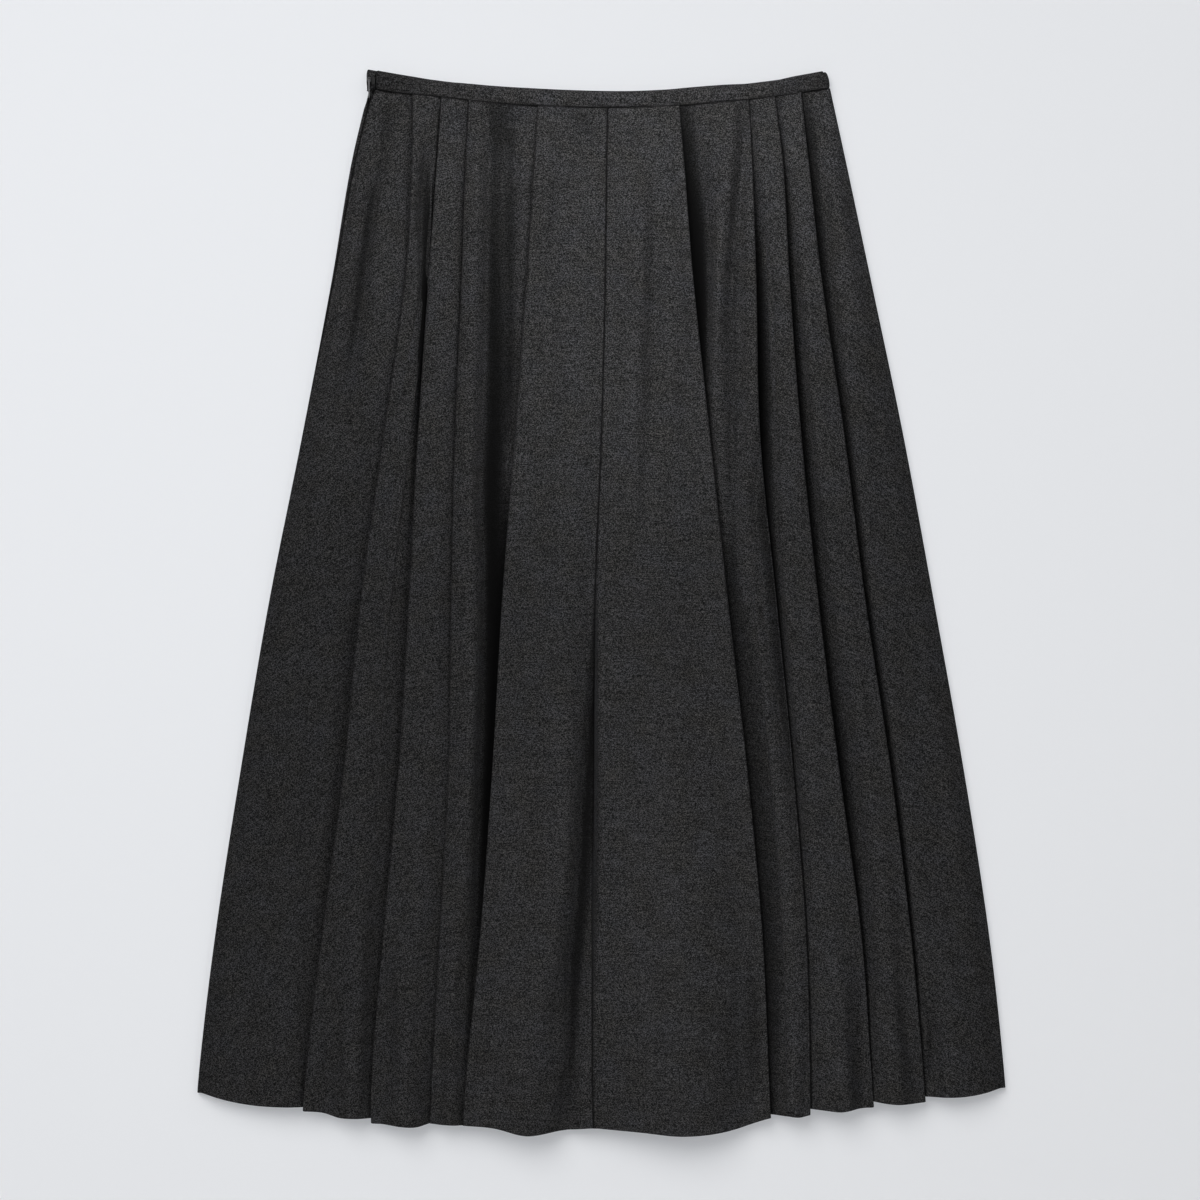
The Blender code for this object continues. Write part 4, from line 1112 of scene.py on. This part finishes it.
def make_zip_slider(finish):
    """The slider's body, broad at its shoulders."""
    mesh = bmesh.new()
    bmesh.ops.create_cube(mesh, size=1)
    for vertex in mesh.verts:
        if vertex.co.y < 0:
            vertex.co.x *= SLIDER_FOOT
    bmesh.ops.scale(mesh, vec=SLIDER_HIGH - SLIDER_LOW, verts=mesh.verts)
    bmesh.ops.bevel(
        mesh, geom=list(mesh.edges), offset=SLIDER_ROUNDING, offset_type="OFFSET", affect="EDGES",
        segments=4, profile=0.5, material=-1)
    bmesh.ops.translate(mesh, vec=(SLIDER_LOW + SLIDER_HIGH) / 2, verts=mesh.verts)
    slider = add_piece("zip_slider_body", mesh, finish, SKIRT_BODY)
    slider.data.set_sharp_from_angle(angle=SHARP_ANGLE)
    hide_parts("zip_slider")


def make_zip_bridge(finish):
    """The slider's bridge, a flat loop that the pull tab hangs in."""
    reach = BRIDGE_WINDOW + BRIDGE_LEG
    root = SLIDER_LOW.x - PULL_AXIS.x + BRIDGE_ROOT
    rim = ((-reach, -reach), (root, reach), BRIDGE_CORNER)
    window = ((-BRIDGE_WINDOW,) * 2, (BRIDGE_WINDOW,) * 2, BRIDGE_WINDOW_CORNER)
    mesh = flat_plate(rim, window, BRIDGE_WALL)
    bmesh.ops.translate(mesh, vec=PULL_AXIS, verts=mesh.verts)
    bridge = add_piece("zip_bridge", mesh, finish, SKIRT_BODY)
    bridge.data.set_sharp_from_angle(angle=SHARP_ANGLE)


# ---------------------------------------------------------------- finishes


class Value:
    """A number that varies over a surface: Python's sums on it add Math nodes."""

    def __init__(self, finish, socket):
        self.finish = finish
        self.socket = socket

    def maths(self, operation, first, second=None):
        inputs = {0: first} if second is None else {0: first, 1: second}
        return self.finish.node("ShaderNodeMath", {"operation": operation}, inputs)

    def __add__(self, other):
        return self.maths("ADD", self, other)

    def __sub__(self, other):
        return self.maths("SUBTRACT", self, other)

    def __rsub__(self, other):
        return self.maths("SUBTRACT", other, self)

    def __mul__(self, other):
        return self.maths("MULTIPLY", self, other)

    def wave(self):
        return self.maths("SINE", self)

    __radd__ = __add__
    __rmul__ = __mul__


class Finish:
    """A material in the making."""

    def __init__(self, name):
        self.material = bpy.data.materials.new(name)
        self.material.use_nodes = True
        self.nodes = self.material.node_tree.nodes
        self.links = self.material.node_tree.links
        self.shader = self.nodes["Principled BSDF"]

    def fill(self, node, inputs):
        """Links the inputs that vary, and sets the others."""
        for key, value in inputs.items():
            if isinstance(value, Value):
                self.links.new(value.socket, node.inputs[key])
            else:
                node.inputs[key].default_value = value

    def node(self, kind, settings=None, inputs=None, output=0):
        """One node: its type, its settings, and the values or links of its inputs by name or
        number. What comes back is one of its outputs."""
        node = self.nodes.new(kind)
        for key, value in (settings or {}).items():
            setattr(node, key, value)
        self.fill(node, inputs or {})
        return Value(self, node.outputs[output])

    def mix(self, low, high, share):
        """A blend of two colours, by the node's factor and its two colour sockets."""
        settings = {"data_type": "RGBA", "clamp_factor": True}
        return self.node("ShaderNodeMix", settings, {0: share, 6: low, 7: high}, output=2)

    def shade(self, **inputs):
        """Fills in the shader's own inputs, with _ for the spaces of their names."""
        self.fill(self.shader, {key.replace("_", " "): value for key, value in inputs.items()})
        return self.material


def colour(red, green, blue, strength=1.0):
    return (red * strength, green * strength, blue * strength, 1)


SUITING = (0.028, 0.0278, 0.0282)
WARM_SUITING = (0.0285, 0.0278, 0.0269)
COOL_SUITING = (0.0274, 0.0276, 0.0296)
# How bright the darkest yarns, the lightest yarns and the painted shade of a closed fold are beside that
# grey
DARK_YARN = 0.2
LIGHT_YARN = 2.9
PAINTED_SHADE_GREY = 0.06
THREAD_PAIR = 0.7 * MM  # two threads of the plain weave, one over and one under

# Sizes along the weft and along the warp
STREAK = (24.0, 0.75)
SPECK = (1.25, 0.85)
PATCH = (26.0, 20.0)
CROSSING = (0.55, 0.45)
SLUB = (2.3, 0.62)


def weave_cloth():
    """Charcoal melange suiting in plain weave: grey and black fibres mixed in its yarns, with
    uneven weft yarns that show as fine streaks, and shade painted on its colour where folds close."""
    cloth = Finish("charcoal_suiting")
    grain = cloth.node("ShaderNodeUVMap", {"uv_map": "Grain"})

    def scaled(size):
        settings = {"vector_type": "TEXTURE"}
        scale = (size[0] * MM, size[1] * MM, 1)
        return cloth.node("ShaderNodeMapping", settings, {"Vector": grain, "Scale": scale})

    def fibres(size, detail):
        """Soft clouds of fibre of about a size, darker and lighter round zero."""
        inputs = {"Vector": scaled(size), "Scale": 1.0, "Detail": detail, "Roughness": 0.5}
        return cloth.node("ShaderNodeTexNoise", {"noise_dimensions": "2D"}, inputs) - 0.5

    def crossings(size):
        """Each crossing of threads, or each short run of them, in a grey of its own."""
        cells = cloth.node("ShaderNodeVectorMath", {"operation": "FLOOR"}, {0: scaled(size)})
        settings = {"noise_dimensions": "2D"}
        return cloth.node("ShaderNodeTexWhiteNoise", settings, {"Vector": cells}) - 0.5

    streaks = fibres(STREAK, 2)
    specks = fibres(SPECK, 0)
    patches = fibres(PATCH, 2)
    tone = 0.52 + 0.48 * streaks + 0.34 * specks + 0.1 * patches
    tone = tone + 0.95 * crossings(CROSSING) + 0.08 * crossings(SLUB)
    warm, cool = colour(*WARM_SUITING, LIGHT_YARN), colour(*COOL_SUITING, LIGHT_YARN)
    light = cloth.mix(warm, cool, 0.5 + 1.6 * patches)
    yarn = cloth.mix(colour(*SUITING, DARK_YARN), light, tone * tone)
    across = cloth.node("ShaderNodeSeparateXYZ", {}, {0: grain}, output="X")
    up = cloth.node("ShaderNodeSeparateXYZ", {}, {0: grain}, output="Y")
    turns = math.tau / THREAD_PAIR
    wander = streaks * 0.5
    threads = (across * turns + wander).wave() * (up * turns + wander).wave()
    relief = threads * 0.35 + specks * 0.8 + streaks * 0.4
    inputs = {"Strength": 0.42, "Distance": 0.12 * MM, "Height": relief}
    bump = cloth.node("ShaderNodeBump", {}, inputs)
    # painted shade: the colour darkens towards a deep grey where the mesh's shade attribute says
    painted_shade = cloth.node("ShaderNodeAttribute", {"attribute_name": "PaintedShade"}, {}, output="Fac")
    yarn = cloth.mix(yarn, colour(*SUITING, PAINTED_SHADE_GREY), painted_shade)
    return cloth.shade(
        Base_Color=yarn, Roughness=0.62 + 0.2 * specks, Normal=bump, Specular_IOR_Level=0.06,
        Sheen_Weight=0.05, Sheen_Roughness=0.4, Sheen_Tint=(0.9, 0.93, 1, 1))


def weave_tape():
    """Fine black ribs across the zip's tapes and its coil."""
    tape = Finish("zip_tape_weave")
    place = tape.node("ShaderNodeTexCoord", {}, {}, output="Object")
    ribs = tape.node(
        "ShaderNodeTexWave", {"wave_type": "BANDS", "bands_direction": "Y"},
        {"Vector": place, "Scale": 700.0, "Distortion": 0.4})
    shade = tape.mix(colour(0.012, 0.012, 0.013), colour(0.03, 0.03, 0.032), ribs)
    bump = tape.node("ShaderNodeBump", {}, {"Strength": 0.4, "Distance": 0.1 * MM, "Height": ribs})
    return tape.shade(Base_Color=shade, Roughness=0.75, Normal=bump)


def enamel(name, tone, roughness):
    """Grey enamel on metal, a little worn in random patches."""
    metal = Finish(name)
    place = metal.node("ShaderNodeTexCoord", {}, {}, output="Object")
    wear = metal.node(
        "ShaderNodeTexNoise", {}, {"Vector": place, "Scale": 900.0, "Detail": 3.0, "Roughness": 0.6})
    grey = (tone, tone, tone * 1.03)
    shade = metal.mix(colour(*grey, 0.75), colour(*grey, 1.3), wear)
    uneven = roughness + 0.15 * (wear - 0.5)
    return metal.shade(Base_Color=shade, Roughness=uneven, Specular_IOR_Level=0.25)


# ---------------------------------------------------------------- camera, floor and light

VIEW_WIDTH = 934.8 * MM
VIEW_MIDDLE = Vector((-1.2, 1.5, 8)) * MM
LENS = 180
SENSOR = 36
FLOOR_REACH = 10
WORLD_LIGHT = 0.15  # strength of the world as light, and as the camera sees it
WORLD_SEEN = 0.8
WORLD_COLOUR = (0.97, 0.98, 1.0, 1)
VIEW_GAMMA = 0.8


def set_camera():
    """Straight above the skirt, far enough away that its view is nearly flat."""
    data = bpy.data.cameras.new("camera")
    data.lens = LENS
    data.sensor_width = SENSOR
    camera = bpy.data.objects.new("camera", data)
    camera.location = VIEW_MIDDLE + Vector((0, 0, VIEW_WIDTH * LENS / SENSOR))
    bpy.context.scene.collection.objects.link(camera)
    bpy.context.scene.camera = camera


def lay_floor():
    mesh = bmesh.new()
    bmesh.ops.create_grid(mesh, x_segments=1, y_segments=1, size=FLOOR_REACH)
    data = bpy.data.meshes.new("floor")
    mesh.to_mesh(data)
    mesh.free()
    paper = Finish("pale_floor")
    paper.shade(Base_Color=colour(0.8, 0.8, 0.805), Roughness=0.95, Specular_IOR_Level=0.1)
    data.materials.append(paper.material)
    floor = bpy.data.objects.new("floor", data)
    bpy.context.scene.collection.objects.link(floor)


def add_lamp(name, kind, place, aim, power, settings):
    lamp = bpy.data.lights.new(name, kind)
    lamp.energy = power
    for key, value in settings.items():
        setattr(lamp, key, value)
    lit = bpy.data.objects.new(name, lamp)
    lit.location = place
    lit.rotation_euler = (Vector(aim) - Vector(place)).to_track_quat("-Z", "Y").to_euler()
    lit.visible_camera = False
    bpy.context.scene.collection.objects.link(lit)
    return lit


def sheen(name, x, y, height, power, size):
    """A round lamp that hangs low over one place of the skirt."""
    return name, "AREA", (x, y, height), (x, y, 0), power, {"shape": "DISK", "size": size}


LAMPS = (  # name, kind, place, what it aims at, power, settings
    ("fill", "SUN", (5.0, 2.5, 5.0), (0, 0, 0), 0.33, {"angle": math.radians(60)}),
)
SKIRT_LAMPS = (  # these light the skirt alone
    ("key", "SUN", (-3.4, 6.0, 6.6), (0, 0, 0), 2.17, {"angle": math.radians(24)}),
    ("overhead", "SUN", (0, 0, 5), (0, 0, 0), 0.64, {"angle": math.radians(170)}),
    sheen("top_sheen", 0.05, 0.45, 0.365, 1.61, 0.25),
    sheen("waist_sheen", 0, 0.3, 0.235, 0.08, 0.25),
    sheen("hip_sheen", 0, 0.15, 0.155, 0.085, 0.12),
    sheen("left_sheen", -0.25, 0.3, 0.155, 0.06, 0.12),
    sheen("right_sheen", 0.25, 0.33, 0.155, 0.03, 0.12),
    sheen("middle_sheen", 0.05, -0.2, 0.365, 0.42, 0.12),
    sheen("hem_sheen", 0, -0.45, 0.515, 0.65, 0.5),
)
SHADOW_LAMPS = (  # these light the floor alone, and the skirt shades it from them
    ("floor_key", "SUN", (-3.4, 6.0, 7.5), (0, 0, 0), 1.3, {"angle": math.radians(48)}),
)
FLOOR_LAMPS = (  # these light the floor alone, and the skirt doesn't shade it from them
    ("wash", "AREA", (-0.5, 0.5, 2.6), (-0.5, 0.5, 0), 24.0, {"size": 0.5, "color": (0.9, 0.94, 1.0)}),
    ("floor_top", "SUN", (0, 0, 5), (0, 0, 0), 0.72, {"angle": math.radians(30)}),
)


def hang_lamps():
    """The lamps, each set linked to what it lights and to what shades it."""
    for lamp in LAMPS:
        add_lamp(*lamp)
    skirt = bpy.data.collections.new("skirt_pieces")
    ground = bpy.data.collections.new("ground")
    for piece in bpy.context.scene.objects:
        if piece.type == "MESH":
            (ground if piece.name == "floor" else skirt).objects.link(piece)
    for lamps, lit, shading in (
        (SKIRT_LAMPS, skirt, skirt), (SHADOW_LAMPS, ground, skirt), (FLOOR_LAMPS, ground, ground)
    ):
        for lamp in lamps:
            linking = add_lamp(*lamp).light_linking
            linking.receiver_collection = lit
            linking.blocker_collection = shading


def light_studio():
    """A dim world that the camera sees as a pale one."""
    world = bpy.data.worlds.new("studio")
    world.use_nodes = True
    nodes, links = world.node_tree.nodes, world.node_tree.links
    background = nodes["Background"]
    background.inputs["Color"].default_value = WORLD_COLOUR
    path = nodes.new("ShaderNodeLightPath")
    seen = nodes.new("ShaderNodeMapRange")
    seen.inputs["To Min"].default_value = WORLD_LIGHT
    seen.inputs["To Max"].default_value = WORLD_SEEN
    links.new(path.outputs["Is Camera Ray"], seen.inputs["Value"])
    links.new(seen.outputs[0], background.inputs["Strength"])
    bpy.context.scene.world = world
    bpy.context.scene.view_settings.view_transform = "Standard"
    bpy.context.scene.view_settings.gamma = VIEW_GAMMA


def main():
    set_camera()
    cloth = weave_cloth()
    tape = weave_tape()
    sew_back(cloth)
    sew_front("front_left", FRONT_LEFT, FRONT_LEFT_GRAIN, cloth)
    sew_front("front_right", FRONT_RIGHT, FRONT_RIGHT_GRAIN, cloth)
    sew_waistband(cloth)
    make_zip_coil(tape)
    make_zip_tapes(tape)
    # one enamel in three greys: the slider's darkest, and the bridge's and the pull's painted lighter to
    # stand in for their glints
    make_zip_slider(enamel("zip_enamel_dark", 0.012, 0.6))
    make_zip_bridge(enamel("zip_enamel_lightened_for_glints", 0.075, 0.45))
    make_zip_pull(enamel("zip_enamel", 0.12, 0.45))
    lay_floor()
    hang_lamps()
    light_studio()


main()
